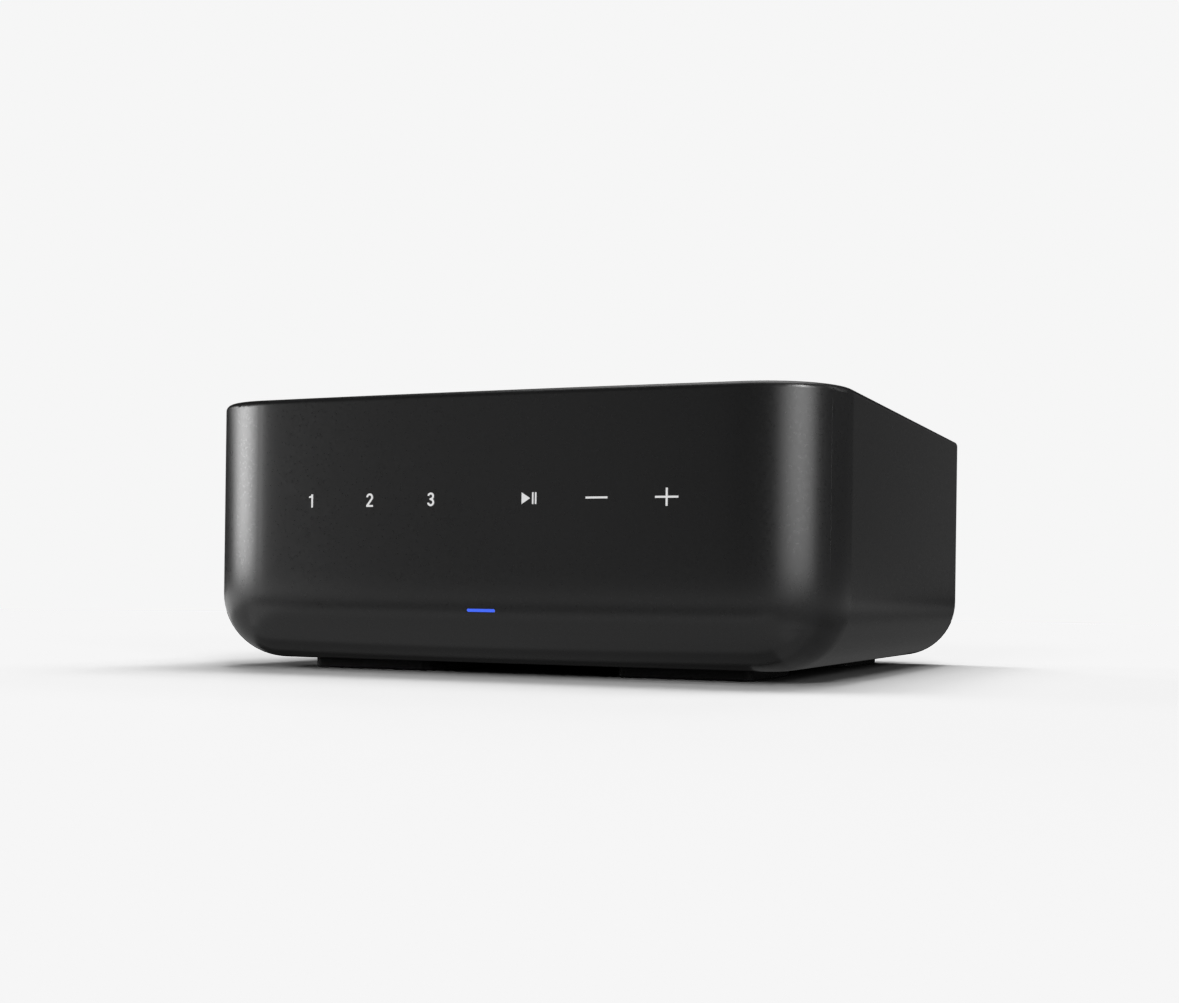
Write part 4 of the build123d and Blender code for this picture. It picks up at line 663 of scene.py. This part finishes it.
def contacts(b):
    for x in (-29.5, -27.0, -25.0, -22.5):
        slab(b, [(x - 0.5, 57.58), (x + 0.5, 57.58), (x + 0.5, 57.66), (x - 0.5, 57.66)], 80.2, 87.7)
    for i in range(10):
        x = -5.0 - 4.5 + i * 1.0
        slab(b, [(x - 0.22, 57.40), (x + 0.22, 57.40), (x + 0.22, 57.47), (x - 0.22, 57.47)], 80.2, 87.7)
    for i in range(9):
        x = -5.0 - 4.0 + i * 1.0
        slab(b, [(x - 0.22, 58.63), (x + 0.22, 58.63), (x + 0.22, 58.70), (x - 0.22, 58.70)], 80.2, 87.7)


mesh_piece("socket_contacts", "case", gold_finish, contacts)

# Light pipes beside the network socket.
pipe_green = surface("pipe_green_finish", (0.10, 0.30, 0.06), 0.3, mottle=0.08, mottle_mm=1.0, grain_mm=0.5, grain_depth_mm=0.006)
pipe_amber = surface("pipe_amber_finish", (0.42, 0.22, 0.03), 0.3, mottle=0.08, mottle_mm=1.0, grain_mm=0.5, grain_depth_mm=0.006)


def pipe(x):
    def build(b):
        w_, h_ = 1.25, 0.95
        c = 0.25
        slab(b, [(x - w_ + c, 56.25 - h_), (x + w_ - c, 56.25 - h_), (x + w_, 56.25 - h_ + c), (x + w_, 56.25 + h_ - c),
                 (x + w_ - c, 56.25 + h_), (x - w_ + c, 56.25 + h_), (x - w_, 56.25 + h_ - c), (x - w_, 56.25 - h_ + c)], 89.82, 90.04)
    return build


mesh_piece("network_lamp_left", "case", pipe_green, pipe(-53.2))
mesh_piece("network_lamp_right", "case", pipe_amber, pipe(-40.8))

# Moulding parting line: a hair-fine raised line up each front corner, which fades out above the rolled edge.
HALF, CORNER_R, BOW, FRONT_Y = 81.5, 27.0, 1.54, -108.5
FRONT_R = (HALF ** 2 + BOW ** 2) / (2 * BOW)
ARC_CY = FRONT_Y + FRONT_R
corner_y = ARC_CY - math.sqrt((FRONT_R - CORNER_R) ** 2 - HALF ** 2)
CREST = (-0.75, -0.60, -0.45, -0.30, -0.15, 0.0, 0.15, 0.30, 0.45, 0.60, 0.75)


def parting_line(sign):
    def build(b):
        rows = []
        z_from, z_to, k = 25.5, 86.6, 40
        for i in range(k + 1):
            z = z_from + (z_to - z_from) * i / k
            fade = min(1.0, (z - z_from) / 12.0, (z_to - z) / 4.0)
            proud = -0.012 + 0.018 * max(0.0, fade)
            ring = []
            for off in CREST:
                ang = math.radians(61.6) + off / CORNER_R
                r = CORNER_R - 0.027 + proud - 0.10 * off ** 2
                ring.append(b.verts.new((sign * (HALF + r * math.sin(ang)) * MM, (corner_y - r * math.cos(ang)) * MM, z * MM)))
            rows.append(ring)
        last = len(CREST) - 1
        for r0, r1 in zip(rows, rows[1:]):
            for j in range(last):
                b.faces.new((r0[j], r0[j + 1], r1[j + 1], r1[j]))
            b.faces.new((r0[last], r0[0], r1[0], r1[last]))
        b.faces.new(rows[0])
        b.faces.new(list(reversed(rows[-1])))
    return build


mesh_piece("parting_line_right", "case", housing, parting_line(1), smooth=True)
mesh_piece("parting_line_left", "case", housing, parting_line(-1), smooth=True)

# ------------------------------------------------------------------ what the object's own lights reach
for o in list(scene.objects):
    if o.type in {"MESH", "CURVE"} and o is not floor:
        on_object.objects.link(o)
        if o is not nodes["main_housing"] and not o.name.startswith("parting_line"):
            on_rear.objects.link(o)
